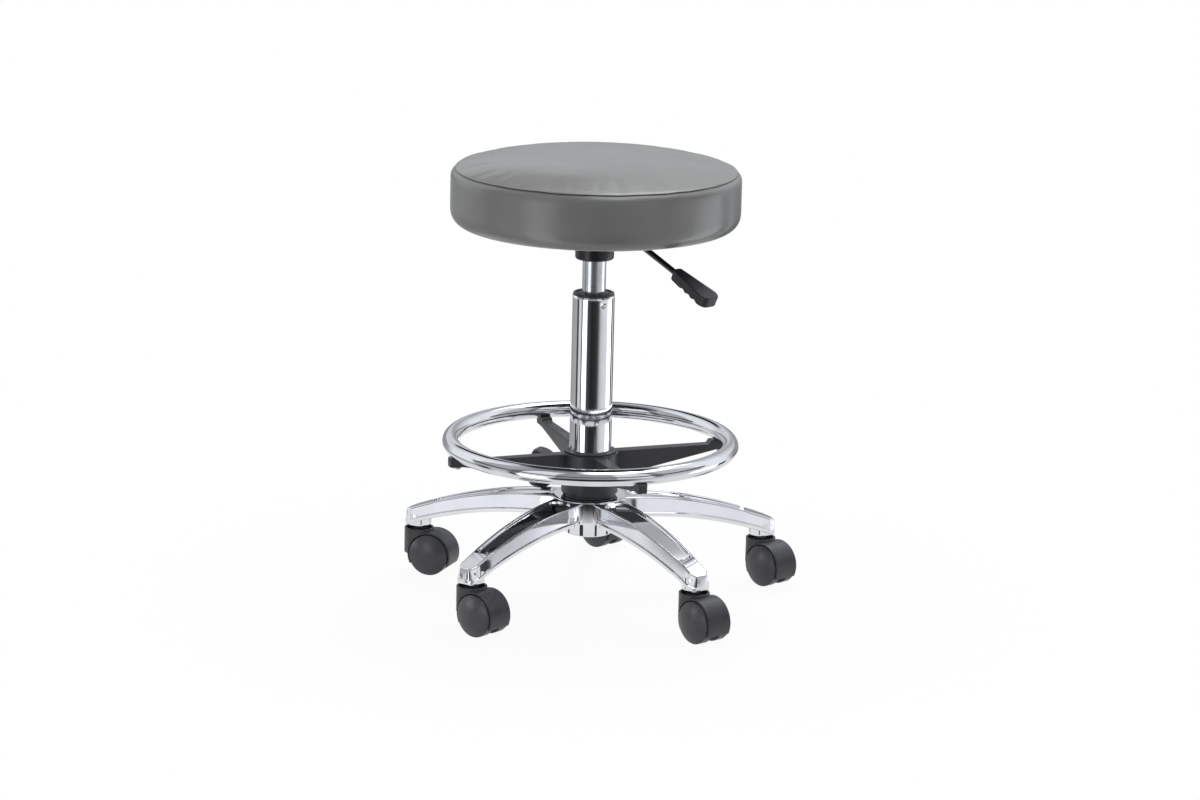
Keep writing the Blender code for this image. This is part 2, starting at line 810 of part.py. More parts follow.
def seat_mount():
    facing = about_z(LEVER_AZIMUTH)
    chamber = PLATE_BOTTOM - LEVER_CHAMBER_H
    socket = helper(
        "socket",
        turned(
            [
                (SOCKET_R, PLATE_BOTTOM + PLATE_T / 2),
                (SOCKET_R, SOCKET_BOTTOM + SOCKET_EDGE),
                (SOCKET_R - SOCKET_EDGE * 0.3, SOCKET_BOTTOM + SOCKET_EDGE * 0.3),
                (SOCKET_R - SOCKET_EDGE, SOCKET_BOTTOM),
                (CYLINDER_R + GAP, SOCKET_BOTTOM),
                (CYLINDER_R - CYLINDER_TAPER + GAP, CYLINDER_TOP),
                (CYLINDER_R - CYLINDER_TAPER + GAP, chamber),
                (LEVER_CHAMBER_R, chamber),
                (LEVER_CHAMBER_R, PLATE_BOTTOM + PLATE_T / 2),
            ],
            28,
        ),
    )
    shell = bmesh.new()
    mesh = block((-PLATE_HALF, -PLATE_HALF, PLATE_BOTTOM), (PLATE_HALF, PLATE_HALF, PLATE_TOP))
    shell.from_mesh(mesh)
    upright = [e for e in shell.edges if abs(e.verts[0].co.z - e.verts[1].co.z) > PLATE_T / 2]
    bmesh.ops.bevel(
        shell, geom=upright, offset=PLATE_CORNER, segments=4, profile=0.5, affect="EDGES"
    )
    shell.to_mesh(mesh)
    shell.free()
    plate = helper("plate", mesh, facing)
    holes = []
    for x, y in bolt_places():
        frame = facing @ Matrix.Translation((x, y, 0))
        hole = rod(BOLT_R + GAP, PLATE_BOTTOM - 0.01, PLATE_TOP + 0.01, 8)
        holes.append(helper("bolt_hole", hole, frame))
    lever_hole = helper(
        "lever_hole",
        rod(LEVER_R + 2 * RUN, LEVER_CHAMBER_R - 0.004, SOCKET_R + 0.01, 16),
        radial(LEVER_AZIMUTH, 0, LEVER_Z),
    )
    join(plate, socket)
    cut(plate, lever_hole, *holes)
    part("seat_mount", baked(plate), "black_steel")
    used_up(plate, socket, lever_hole, *holes)

    head_top = PLATE_BOTTOM - GAP
    profile = [
        (0, head_top + BOLT_LENGTH),
        (BOLT_R, head_top + BOLT_LENGTH),
        (BOLT_R, head_top),
        (BOLT_HEAD_R, head_top),
        (BOLT_HEAD_R, head_top - BOLT_HEAD_H),
        (0, head_top - BOLT_HEAD_H),
    ]
    bolt = turned(profile, 8, "bolt")
    for n, (x, y) in enumerate(bolt_places(), 1):
        part("plate_bolt_%d" % n, bolt.copy(), "steel", None, facing @ Matrix.Translation((x, y, 0)))


def seat_outline():
    """Cushion section, from the crown to the wrap under the board."""
    outline = []
    seam_r = SEAT_R - SEAM_INSET
    for t in (0.0, 0.30, 0.55, 0.75, 0.88, 0.96):
        outline.append((seam_r * t, SEAM_Z + SEAT_CROWN * (1 - t ** 2.6)))
    outline.append((seam_r - SEAM_PINCH, SEAM_Z))
    for t in (0.35, 0.7, 1.0):
        bulge = math.sin(t * math.pi / 2)
        outline.append((blend(seam_r, SEAT_R, bulge), SEAM_Z - SHOULDER * t))
    for lean in (0, 22, 45, 68, 90):
        a = math.radians(lean)
        r = SEAT_R - SEAT_BOTTOM_ROUND * (1 - math.cos(a))
        outline.append((r, SEAT_BOTTOM + SEAT_BOTTOM_ROUND * (1 - math.sin(a))))
    return outline


def seat():
    board_r = SEAT_R - BOARD_INSET
    facing = about_z(LEVER_AZIMUTH)
    nest = board_r + GAP
    inner = [
        (board_r - WRAP_WIDTH, SEAT_BOTTOM),
        (board_r - WRAP_WIDTH, SEAT_BOTTOM + WRAP_T),
        (nest, SEAT_BOTTOM + WRAP_T),
        (nest, BOARD_TOP + GAP),
        (0, BOARD_TOP + GAP),
    ]
    part("seat_cushion", turned(seat_outline() + inner, SEAT_STEPS, "cushion"), "grey_vinyl")
    board = helper("board", rod(board_r, BOARD_BOTTOM, BOARD_TOP, SEAT_STEPS))
    dust_r = board_r - WRAP_WIDTH - 2 * GAP
    dust = helper("dust", rod(dust_r, DUST_BOTTOM, DUST_BOTTOM + DUST_T, SEAT_STEPS))
    shank_top = PLATE_BOTTOM - GAP + BOLT_LENGTH
    holes = []
    for x, y in bolt_places():
        frame = facing @ Matrix.Translation((x, y, 0))
        hole = rod(BOLT_R + GAP, DUST_BOTTOM - 0.01, shank_top + GAP, 8)
        holes.append(helper("bolt_hole", hole, frame))
    cut(board, *holes)
    cut(dust, *holes)
    part("seat_board", baked(board), "plywood")
    part("dust_cover", baked(dust), "cover_cloth")
    used_up(board, dust, *holes)


# Release lever


def lever_bend(turn):
    """A point of the rod's bend after a turn, as (distance from the column, height)."""
    out = LEVER_STRAIGHT + LEVER_BEND_R * math.sin(turn)
    return out, LEVER_Z - LEVER_BEND_R * (1 - math.cos(turn))


def lever():
    a = math.radians(LEVER_SLOPE)
    out, height = lever_bend(a)
    rod_end = LEVER_ARM + GRIP_SOCKET
    path = [(-LEVER_INNER, LEVER_Z)]
    path += [lever_bend(a * t) for t in (0.0, 0.25, 0.5, 0.75, 1.0)]
    path.append((out + rod_end * math.cos(a), height - rod_end * math.sin(a)))
    pivot_r = (SOCKET_R + LEVER_CHAMBER_R) / 2
    facing = about_z(LEVER_AZIMUTH)
    hinge = pivot("lever_pivot", facing @ Vector((pivot_r, 0, LEVER_Z)), math.radians(LEVER_AZIMUTH))
    curve = bpy.data.curves.new("lever_rod", "CURVE")
    curve.dimensions = "3D"
    curve.bevel_depth = LEVER_R
    curve.bevel_resolution = 3
    curve.use_fill_caps = True
    spline = curve.splines.new("POLY")
    spline.points.add(len(path) - 1)
    for point, (x, z) in zip(spline.points, path):
        point.co = (x - pivot_r, 0, z - LEVER_Z, 1)
    wire = helper("lever_wire", curve)
    part("lever_rod", baked(wire, 50), "black_steel", hinge)
    used_up(wire)

    rings = []
    count = 4 * GRIP_SCALLOPS
    for i in range(count + 1):
        t = i / count
        s = GRIP_LENGTH * t
        half = blend(GRIP_ROOT_HALF, GRIP_TIP_HALF, t ** 0.9)
        thick = blend(GRIP_T, GRIP_T * 0.9, t)
        if i == count:
            half *= 0.8
            thick *= 0.7
        dip = GRIP_SCALLOP_DEPTH * math.sin(math.pi * GRIP_SCALLOPS * t) ** 2
        high = thick * 0.42
        low = high - thick + dip
        edge = thick * 0.2
        outline = [
            (0.0, high),
            (half - edge, high),
            (half, high - edge),
            (half - 0.0006, low + edge),
            (half - 0.0006 - edge, low),
            (0.0, low),
        ]
        rings.append([(s, y, z) for y, z in mirrored(outline)])
    start = (out + LEVER_ARM * math.cos(a), 0, height - LEVER_ARM * math.sin(a))
    frame = Matrix.Translation(start) @ Matrix.Rotation(a, 4, "Y")
    grip = helper("grip", loft(rings), Matrix.Translation((-pivot_r, 0, -LEVER_Z)) @ frame)
    bore_frame = grip.matrix_world @ Matrix.Rotation(math.pi / 2, 4, "Y")
    bore = helper("grip_bore", rod(LEVER_R + GAP, -0.02, GRIP_SOCKET + GAP, 16), bore_frame)
    cut(grip, bore)
    part("lever_grip", baked(grip, 40), "black_plastic", hinge)
    used_up(grip, bore)


# Foot ring


def arm_section(r, half, depth, rise=0.0):
    top, low = ARM_TOP + rise, ARM_TOP - depth
    outline = [
        (0.0, top),
        (half - ARM_EDGE, top),
        (half, top - ARM_EDGE),
        (half, low + ARM_EDGE),
        (half - ARM_EDGE, low),
        (0.0, low),
    ]
    return [(r, y, z) for y, z in mirrored(outline)]


def screw_land():
    """Where the underside of an arm becomes level, so that the screw's head sits flat."""
    return RING_R - RING_SCREW_HEAD_R - RING_SCREW_MARGIN


def arm_depth(r):
    t = (r - SPIDER_IN) / (screw_land() - SPIDER_IN)
    return blend(ARM_ROOT_DEPTH, ARM_TIP_DEPTH, min(max(t, 0.0), 1.0))


def arm_half(r):
    t = (r - SPIDER_IN) / (RING_R - SPIDER_IN)
    return blend(ARM_ROOT_HALF, ARM_TIP_HALF, min(max(t, 0.0), 1.0))


def ring_torus(tube):
    points = []
    for i in range(RING_SIDES):
        a = math.pi / 2 - 2 * math.pi * i / RING_SIDES
        points.append((RING_R + tube * math.cos(a), RING_Z + tube * math.sin(a)))
    return turned(points, RING_STEPS, "torus")


def foot_ring():
    liner = [
        (LINER_OUT + LINER_RIM, SPIDER_TOP + GAP + LINER_RIM_H),
        (LINER_OUT + LINER_RIM, SPIDER_TOP + GAP),
        (LINER_OUT, SPIDER_TOP + GAP),
        (LINER_OUT, LINER_BOTTOM + LINER_FLANGE_H),
        (LINER_OUT + LINER_FLANGE, LINER_BOTTOM + LINER_FLANGE_H),
        (LINER_OUT + LINER_FLANGE, LINER_BOTTOM),
        (LINER_IN, LINER_BOTTOM),
        (LINER_IN, SPIDER_TOP + GAP + LINER_RIM_H),
    ]
    part("hub_liner", turned(liner, 32, "liner"), "black_plastic")

    hub = helper(
        "hub",
        turned(
            [
                (SPIDER_OUT - SPIDER_EDGE, SPIDER_TOP),
                (SPIDER_OUT, SPIDER_TOP - SPIDER_EDGE),
                (SPIDER_OUT, SPIDER_BOTTOM + SPIDER_EDGE),
                (SPIDER_OUT - SPIDER_EDGE, SPIDER_BOTTOM),
                (SPIDER_IN, SPIDER_BOTTOM),
                (SPIDER_IN, SPIDER_TOP),
            ],
            32,
        ),
    )
    root = SPIDER_IN + SPIDER_WALL * 0.4
    saddle_in = RING_R - SADDLE_LENGTH
    tip = RING_R + ARM_TIP_REACH
    rings = []
    for r in (root, blend(root, saddle_in, 0.5), saddle_in):
        rings.append(arm_section(r, arm_half(r), arm_depth(r)))
    for r in (saddle_in + SADDLE_H, screw_land(), tip - ARM_TIP_ROUND):
        rings.append(arm_section(r, arm_half(r), arm_depth(r), SADDLE_H))
    end_half, end_rise = arm_half(tip) - ARM_TIP_NARROW, SADDLE_H - ARM_TIP_NARROW
    rings.append(arm_section(tip, end_half, arm_depth(tip), end_rise))
    arm = loft(rings)
    arms = []
    holes = []
    screw_low = ARM_TOP - arm_depth(RING_R)
    bite_top = RING_Z - RING_TUBE_R + RING_SCREW_BITE
    hole = rod(RING_SCREW_R + GAP, screw_low - ARM_TIP_DEPTH, bite_top + GAP, 8)
    places = [about_z(FIRST_ARM + i * 360 / ARM_COUNT) for i in range(ARM_COUNT)]
    for place in places:
        arms.append(helper("arm", arm, place))
        holes.append(helper("screw_hole", hole, place @ Matrix.Translation((RING_R, 0, 0))))
    groove = helper("groove", ring_torus(RING_TUBE_R + GAP))
    knob_turn = FIRST_ARM + KNOB_ANGLE
    clamp_axis = radial(knob_turn, 0, KNOB_Z)
    boss_end = SPIDER_OUT + CLAMP_BOSS_LENGTH
    boss = helper("clamp_boss", rod(CLAMP_BOSS_R, root, boss_end, 20), clamp_axis)
    clamp_hole = rod(CLAMP_SCREW_R + GAP, SPIDER_IN - SPIDER_WALL, boss_end + CLAMP_BOSS_LENGTH, 16)
    screw_hole = helper("clamp_hole", clamp_hole, clamp_axis)
    join(hub, *arms, boss)
    cut(hub, groove, screw_hole, *holes)
    part("ring_spider", baked(hub), "black_plastic")

    ring = helper("ring", ring_torus(RING_TUBE_R))
    cut(ring, *holes)
    part("foot_ring", baked(ring), "chrome")
    used_up(hub, groove, boss, screw_hole, ring, *arms, *holes)

    head_top = screw_low - GAP
    profile = [
        (0, bite_top),
        (RING_SCREW_R, bite_top),
        (RING_SCREW_R, head_top),
        (RING_SCREW_HEAD_R, head_top),
        (RING_SCREW_HEAD_R, head_top - RING_SCREW_HEAD_H * 0.6),
        (RING_SCREW_HEAD_R * 0.6, head_top - RING_SCREW_HEAD_H),
        (0, head_top - RING_SCREW_HEAD_H),
    ]
    screw = turned(profile, 8, "screw")
    for n, place in enumerate(places, 1):
        screw_place = place @ Matrix.Translation((RING_R, 0, 0))
        part("ring_screw_%d" % n, screw.copy(), "steel", None, screw_place)

    screw_end = KNOB_START + CLAMP_SCREW_BITE
    clamp_screw = rod(CLAMP_SCREW_R, LINER_OUT + RUN, screw_end, 16)
    part("clamp_screw", clamp_screw, "steel", None, clamp_axis)
    stages = ((0.0, 0.0, 0.0), (0.22, 0.35, 0.2), (0.62, 0.9, 1.0), (0.90, 1.0, 1.0), (1.0, 0.9, 0.7))
    rings = []
    around = 4 * KNOB_LOBES
    for s, swell, lobed in stages:
        ring = []
        for i in range(around):
            a = 2 * math.pi * i / around
            dip = lobed * (1 - math.cos(KNOB_LOBES * a)) / 2
            r = blend(KNOB_ROOT_R, KNOB_R, swell) - KNOB_LOBE_DEPTH * dip
            ring.append((r * math.cos(a), r * math.sin(a), KNOB_START + KNOB_LENGTH * s))
        rings.append(ring)
    knob = helper("knob", loft(rings))
    socket = helper("knob_hole", rod(CLAMP_SCREW_R + GAP, SPIDER_OUT, screw_end + GAP, 16))
    cut(knob, socket)
    part("clamp_knob", baked(knob), "black_plastic", None, clamp_axis)
    used_up(knob, socket)


base()
castors()
column()
gas_spring()
seat_mount()
seat()
lever()
foot_ring()
bpy.context.view_layer.update()
print("clinic stool:", len([o for o in PARTS.objects if o.type == "MESH"]), "pieces")
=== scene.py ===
# %% [markdown]
# # A clinic stool, dressed piece by piece
#
# The stool has a round grey vinyl seat on a gas lift, a bent release lever, a chromed foot ring on a
# dark four-arm spider, and a polished five-leg base on twin-wheel castors. The solid model gives every
# piece its place and the way it moves. This script gives the pieces their finished shapes and surfaces.
# Each cell says what the real piece is, and why it is made the way it is here.

# %% Load the solid model
import math

import bmesh
import bpy
import numpy as np
from mathutils import Matrix, Vector, noise


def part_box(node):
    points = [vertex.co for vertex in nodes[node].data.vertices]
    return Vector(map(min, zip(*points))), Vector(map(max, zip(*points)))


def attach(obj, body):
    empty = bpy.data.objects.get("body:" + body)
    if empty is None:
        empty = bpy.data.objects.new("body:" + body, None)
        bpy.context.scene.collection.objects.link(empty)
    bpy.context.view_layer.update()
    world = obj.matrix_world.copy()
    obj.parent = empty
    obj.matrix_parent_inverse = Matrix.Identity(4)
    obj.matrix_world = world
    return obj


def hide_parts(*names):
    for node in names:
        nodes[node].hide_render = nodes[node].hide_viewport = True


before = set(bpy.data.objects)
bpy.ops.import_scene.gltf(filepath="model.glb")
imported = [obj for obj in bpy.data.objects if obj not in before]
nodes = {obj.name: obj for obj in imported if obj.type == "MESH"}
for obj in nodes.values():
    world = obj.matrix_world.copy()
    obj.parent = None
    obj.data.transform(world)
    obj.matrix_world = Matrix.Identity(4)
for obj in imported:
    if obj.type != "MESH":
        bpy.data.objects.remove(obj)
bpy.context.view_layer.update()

# %% [markdown]
# ## Sizes
#
# Heights and radii that can be read from the solids are read from their boxes, so a finished piece sits
# exactly where its solid is. A size that a box can't tell, such as the wall of the base's legs, is written
# where its piece is made. All sizes are in metres. Angles that place a piece are in degrees, and those in
# formulas are in radians.

# %% Sizes that several pieces share
GAP = 0.0003


def reach(name):
    """Radius of a turned solid on the column's axis, and its lowest and highest point."""
    low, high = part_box(name)
    return high.x, low.z, high.z


COLUMN_R, COLUMN_BOTTOM, COLUMN_TOP = reach("column_tube")
CYLINDER_R, CYLINDER_BOTTOM, CYLINDER_TOP = reach("gas_cylinder")
LINER_R, LINER_BOTTOM, LINER_TOP = reach("hub_liner")
HUB_TOP = LINER_BOTTOM - GAP
BASE_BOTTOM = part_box("base_star")[0].z
print("column %.1f mm across, base up to %.1f mm" % (COLUMN_R * 2000, HUB_TOP * 1000))

# %% [markdown]
# ## Helpers for shapes
#
# Most pieces here are turned on a lathe, bent from tube or cast. They could be modelled by hand in Edit
# Mode, but a drawn profile can be changed by one number. `rounded` puts a fillet on the corners of a profile
# and a support point beside each one, so that broad faces stay flat in a mirror finish.

# %% Profiles with rounded corners
def rounded(points, steps=4, closed=False, support=0.0003):
    """Points are (x, z) or (x, z, fillet). Every corner gives the same count, whatever its size."""
    drawn = []
    count = len(points)
    for i, point in enumerate(points):
        here = Vector(point[:2])
        fillet = point[2] if len(point) > 2 else 0.0
        at_an_end = not closed and i in (0, count - 1)
        if fillet == 0.0 or at_an_end:
            drawn.append(tuple(here))
            continue
        before = Vector(points[i - 1][:2]) - here
        after = Vector(points[(i + 1) % count][:2]) - here
        if min(before.length, after.length) < 1e-7:
            drawn += [tuple(here)] * (steps + 3)
            continue
        half = max((math.pi - before.angle(after)) / 2, 1e-4)
        back = min(fillet * math.tan(half), before.length * 0.42, after.length * 0.42)
        start, end = here + before.normalized() * back, here + after.normalized() * back
        near = min(support, before.length * 0.05, after.length * 0.05)
        drawn.append(tuple(start + before.normalized() * near))
        for k in range(steps + 1):
            t = k / steps
            drawn.append(tuple(start * (1 - t) ** 2 + here * 2 * t * (1 - t) + end * t * t))
        drawn.append(tuple(end + after.normalized() * near))
    return drawn


def section(x, half, steps, support=0.0003):
    """A closed section across X, from its right half, drawn from the top middle to the bottom middle."""
    right = rounded(half, steps, support=support)
    return [(x, y, z) for y, z in right] + [(x, -y, z) for y, z in reversed(right[1:-1])]


def between(a, b, t):
    return a + (b - a) * min(max(t, 0.0), 1.0)


sample = rounded([(0, 0), (0.01, 0, 0.002), (0.01, 0.01)])
print("a rounded corner has", len(sample) - 2, "points")

# %% [markdown]
# `lathe` turns a profile about the column's axis, and `loft` skins a row of sections that all have the same
# number of points. Both end in `mesh_from`, which merges doubles, turns the faces outwards and keeps edges
# above an angle sharp. Points on a circle come from `circle_at`.

# %% Lathe and loft
def mesh_from(name, shell, sharp):
    """Turns a bmesh into a clean mesh, with its faces outwards and its hard edges kept."""
    bmesh.ops.remove_doubles(shell, verts=shell.verts, dist=1e-6)
    bmesh.ops.dissolve_degenerate(shell, edges=shell.edges, dist=1e-7)
    bmesh.ops.recalc_face_normals(shell, faces=shell.faces)
    mesh = bpy.data.meshes.new(name)
    shell.to_mesh(mesh)
    shell.free()
    mesh.shade_smooth()
    mesh.set_sharp_from_angle(angle=math.radians(sharp))
    return mesh


def circle_at(radius, height, count):
    """Points round the Z axis, from +X on."""
    turns = [2 * math.pi * k / count for k in range(count)]
    return [(radius * math.cos(a), radius * math.sin(a), height) for a in turns]


def lathe(name, profile, steps=96, sharp=32.0):
    """Turns (radius, height) points about Z. A profile that keeps off the axis is a closed ring."""
    shell = bmesh.new()
    rows = []
    for r, z in profile:
        points = circle_at(r, z, steps) if r > 1e-7 else [(0, 0, z)]
        rows.append([shell.verts.new(p) for p in points])
    pairs = list(zip(rows, rows[1:]))
    if len(rows[0]) > 1 and len(rows[-1]) > 1:
        pairs.append((rows[-1], rows[0]))
    for a, b in pairs:
        for k in range(steps):
            j = (k + 1) % steps
            corners = [a[k % len(a)], a[j % len(a)], b[j % len(b)], b[k % len(b)]]
            corners = list(dict.fromkeys(corners))
            if len(corners) > 2:
                shell.faces.new(corners)
    return mesh_from(name, shell, sharp)


def loft(name, sections, sharp=32.0):
    """Skins closed sections of equal length, and caps both ends."""
    shell = bmesh.new()
    rows = [[shell.verts.new(p) for p in points] for points in sections]
    count = len(rows[0])
    for a, b in zip(rows, rows[1:]):
        for k in range(count):
            j = (k + 1) % count
            shell.faces.new((a[k], a[j], b[j], b[k]))
    shell.faces.new(rows[0][::-1])
    shell.faces.new(rows[-1])
    return mesh_from(name, shell, sharp)


def about_z(degrees):
    return Matrix.Rotation(math.radians(degrees), 4, "Z")


def radial_place(degrees, height):
    """A place on the column's axis whose Z points outwards."""
    return about_z(degrees) @ Matrix.Translation((0, 0, height)) @ Matrix.Rotation(math.pi / 2, 4, "Y")


print("shape helpers: lathe, loft, circle_at, about_z, radial_place")

# %% [markdown]
# ## Joining, beveling and handing over
#
# A casting is drawn as a few overlapping forms that a Boolean joins. The Bevel that follows gives the new
# edges the small radius of a moulded part, which is what catches the light. Both are modifiers on a working
# object, and `settled` turns what they make into a plain mesh.

# %% Boolean and bevel
def in_scene(name, data):
    """An object in the scene that shows a mesh, a curve, a lamp or a camera."""
    obj = bpy.data.objects.new(name, data)
    bpy.context.scene.collection.objects.link(obj)
    return obj


def settled(obj, sharp=None):
    """The object's mesh with all of its modifiers applied; the object is removed."""
    bpy.context.view_layer.update()
    graph = bpy.context.evaluated_depsgraph_get()
    mesh = bpy.data.meshes.new_from_object(obj.evaluated_get(graph))
    bpy.data.objects.remove(obj, do_unlink=True)
    if sharp is not None:
        mesh.shade_smooth()
        mesh.set_sharp_from_angle(angle=math.radians(sharp))
    return mesh


def shaped(name, body, joined=(), cut=(), bevel=0.0004, angle=32.0, sharp=45.0):
    """Joins and cuts meshes, rounds the edges that this leaves, and returns one mesh."""
    obj = in_scene(name, body)
    used = []
    for operation, others in (("UNION", joined), ("DIFFERENCE", cut)):
        for other in others:
            used.append(in_scene(name + "_tool", other))
            step = obj.modifiers.new(operation, "BOOLEAN")
            step.operation = operation
            step.solver = "EXACT"
            step.object = used[-1]
    step = obj.modifiers.new("edges", "BEVEL")
    step.width = bevel
    step.segments = 2
    step.limit_method = "ANGLE"
    step.angle_limit = math.radians(angle)
    mesh = settled(obj, sharp)
    for tool in used:
        bpy.data.objects.remove(tool, do_unlink=True)
    return mesh


def joined_meshes(name, meshes):
    """Several meshes in one, without a Boolean, for forms that only touch."""
    shell = bmesh.new()
    for mesh in meshes:
        shell.from_mesh(mesh)
    mesh = bpy.data.meshes.new(name)
    shell.to_mesh(mesh)
    shell.free()
    return mesh


print("joining helpers: shaped, joined_meshes")

# %% [markdown]
# `hand_over` is the last step for each piece: it gives the mesh its material, hangs the piece on the body
# that it rides on, and hides the solids that it stands for.

# %% Hand-over
def hand_over(name, mesh, material, body, slot, *stands_for):
    """Adds the finished piece: material, body and the nodes that it stands for. The slot is not used."""
    mesh.materials.clear()
    mesh.materials.append(material)
    obj = in_scene(name, mesh)
    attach(obj, body)
    if stands_for:
        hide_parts(*stands_for)
    mesh.calc_loop_triangles()
    print("  %-22s %6d triangles on %s" % (name, len(mesh.loop_triangles), body))
    return obj


def numbered(name, count):
    return ["%s_%d" % (name, n) for n in range(1, count + 1)]


# %% [markdown]
# ## Node trees
#
# Materials, the light and everything that repeats are node trees. Built by hand in the editor they would be
# quick to see but hard to read here, so one helper adds a node and fills its inputs: a number is set on the
# socket, and the output of another node is linked to it. `node_group` starts a group with named sockets.

# %% Helpers for node trees
def node(tree, kind, inputs=(), **settings):
    """Adds a node to a tree. Each input takes a value, or the output of another node."""
    made = tree.nodes.new(kind)
    for name, value in settings.items():
        setattr(made, name, value)
    for place, value in dict(inputs).items():
        if isinstance(value, bpy.types.NodeSocket):
            tree.links.new(value, made.inputs[place])
        else:
            made.inputs[place].default_value = value
    return made


def maths(tree, operation, *values):
    """A Math node on values that are numbers or outputs."""
    return node(tree, "ShaderNodeMath", dict(enumerate(values)), operation=operation).outputs[0]


def node_group(name, kind, outputs, **inputs):
    """An empty group with named sockets: the tree, what it is given, and what it has to put out."""
    tree = bpy.data.node_groups.new(name, kind)
    for way, sockets in (("INPUT", inputs), ("OUTPUT", outputs)):
        for label, socket in sockets.items():
            label = label.replace("_", " ")
            tree.interface.new_socket(label, in_out=way, socket_type="NodeSocket" + socket)
    return tree, tree.nodes.new("NodeGroupInput").outputs, tree.nodes.new("NodeGroupOutput").inputs


print("node helpers: node, maths, node_group")

# %% [markdown]
# ## Geometry Nodes that repeat a part
#
# Legs, ribs, screws and staples all stand in a ring about an axis. An Array modifier could do it, but one
# tree with named inputs serves them all: points on a circle carry instances of a part, each turned with its
# angle. The instances are made real and get their material in the tree, because the export drops instances.

# %% The ring-of-parts tree
def shape_tree(name, **inputs):
    """A tree that makes geometry, for a modifier."""
    tree, given, result = node_group(name, "GeometryNodeTree", {"Geometry": "Geometry"},
                                     Geometry="Geometry", **inputs, Material="Material")
    tree.is_modifier = True
    return tree, given, result


def end_tree(tree, shape, given, result):
    """Makes instances real, gives the shape its material and puts it out."""
    real = node(tree, "GeometryNodeRealizeInstances", {0: shape})
    painted = node(tree, "GeometryNodeSetMaterial",
                   {"Geometry": real.outputs[0], "Material": given["Material"]})
    tree.links.new(painted.outputs[0], result["Geometry"])
    return tree


def ring_tree():
    tree, given, result = shape_tree("parts_about_an_axis", Part="Object", Count="Int", Radius="Float",
                                     First_Angle="Float", Height="Float")
    index = node(tree, "GeometryNodeInputIndex").outputs[0]
    step = maths(tree, "DIVIDE", 2 * math.pi, given["Count"])
    turn = maths(tree, "MULTIPLY_ADD", index, step, given["First Angle"])
    across = maths(tree, "MULTIPLY", maths(tree, "COSINE", turn), given["Radius"])
    along = maths(tree, "MULTIPLY", maths(tree, "SINE", turn), given["Radius"])
    place = node(tree, "ShaderNodeCombineXYZ", {"X": across, "Y": along, "Z": given["Height"]})
    lean = node(tree, "ShaderNodeCombineXYZ", {"Z": turn})
    points = node(tree, "GeometryNodePoints", {"Count": given["Count"], "Position": place.outputs[0]})
    part = node(tree, "GeometryNodeObjectInfo", {"Object": given["Part"]})
    copies = node(tree, "GeometryNodeInstanceOnPoints",
                  {"Points": points.outputs[0], "Instance": part.outputs["Geometry"],
                   "Rotation": lean.outputs[0]})
    return end_tree(tree, copies.outputs[0], given, result)


RING_OF_PARTS = ring_tree()
print("tree:", RING_OF_PARTS.name, "with", len(RING_OF_PARTS.nodes), "nodes")

# %% [markdown]
# A second tree bends tube: it takes a curve, gives it a round section and closes the ends. The foot ring
# and the lever's rod are both bent from round stock, so both come from it.

# %% The bent-tube tree
def tube_tree():
    tree, given, result = shape_tree("tube_along_a_path", Radius="Float", Sides="Int")
    outline = node(tree, "GeometryNodeCurvePrimitiveCircle",
                   {"Radius": given["Radius"], "Resolution": given["Sides"]})
    skin = node(tree, "GeometryNodeCurveToMesh",
                {"Curve": given["Geometry"], "Profile Curve": outline.outputs[0], "Fill Caps": True})
    return end_tree(tree, skin.outputs[0], given, result)


BENT_TUBE = tube_tree()
print("tree:", BENT_TUBE.name, "with", len(BENT_TUBE.nodes), "nodes")

# %% [markdown]
# `grown` runs either tree on a mesh or a curve and keeps the plain mesh that comes out. A modifier's input
# is set by its socket's identifier, because two sockets may have the same name.

# %% Running the trees
def grown(data, tree, **inputs):
    """Runs a tree on a mesh or a curve and returns the plain mesh that it makes."""
    obj = in_scene("growing", data)
    step = obj.modifiers.new("nodes", "NODES")
    step.node_group = tree
    sockets = {item.name: item.identifier for item in tree.interface.items_tree if item.in_out == "INPUT"}
    for name, value in inputs.items():
        step[sockets[name.replace("_", " ")]] = value
    return settled(obj, sharp=35.0)


def ring_of(part, count, material, radius=0.0, first=0.0):
    """Copies of a part in a ring about Z, from an angle in degrees. The part points along +X."""
    pattern = in_scene("pattern", part)
    pattern.hide_render = True
    made = grown(bpy.data.meshes.new("ring"), RING_OF_PARTS, Part=pattern, Count=count, Radius=radius,
                 First_Angle=math.radians(first), Height=0.0, Material=material)
    bpy.data.objects.remove(pattern, do_unlink=True)
    return made


def tube_along(points, material, radius, sides, closed=False):
    """Round stock bent along points."""
    curve = bpy.data.curves.new("path", "CURVE")
    curve.dimensions = "3D"
    spline = curve.splines.new("POLY")
    spline.points.add(len(points) - 1)
    for point, place in zip(spline.points, points):
        point.co = (*place, 1.0)
    spline.use_cyclic_u = closed
    return grown(curve, BENT_TUBE, Radius=radius, Sides=sides, Material=material)


print("repeating and bending: ring_of, tube_along")

# %% [markdown]
# ## Finishes that several materials share
#
# A surface is never one flat colour: a moulded part has a fine grain and faint patches, polished metal has
# hairlines and a slight waviness, and vinyl has pores between small pebbles. Image textures could show that,
# but nodes on the piece's own coordinates need no file and no unwrapping. Each effect is a node group with
# named sockets that puts out values only. The shader itself stays in each material.

# %% Node groups: moulded grain and polish marks
def own_place(tree):
    """The piece's own coordinates."""
    return node(tree, "ShaderNodeTexCoord").outputs["Object"]


def drawn_out(tree, *scale):
    """The piece's own coordinates, scaled so that a texture on them is drawn out."""
    return node(tree, "ShaderNodeMapping", {"Vector": own_place(tree), "Scale": scale}).outputs["Vector"]


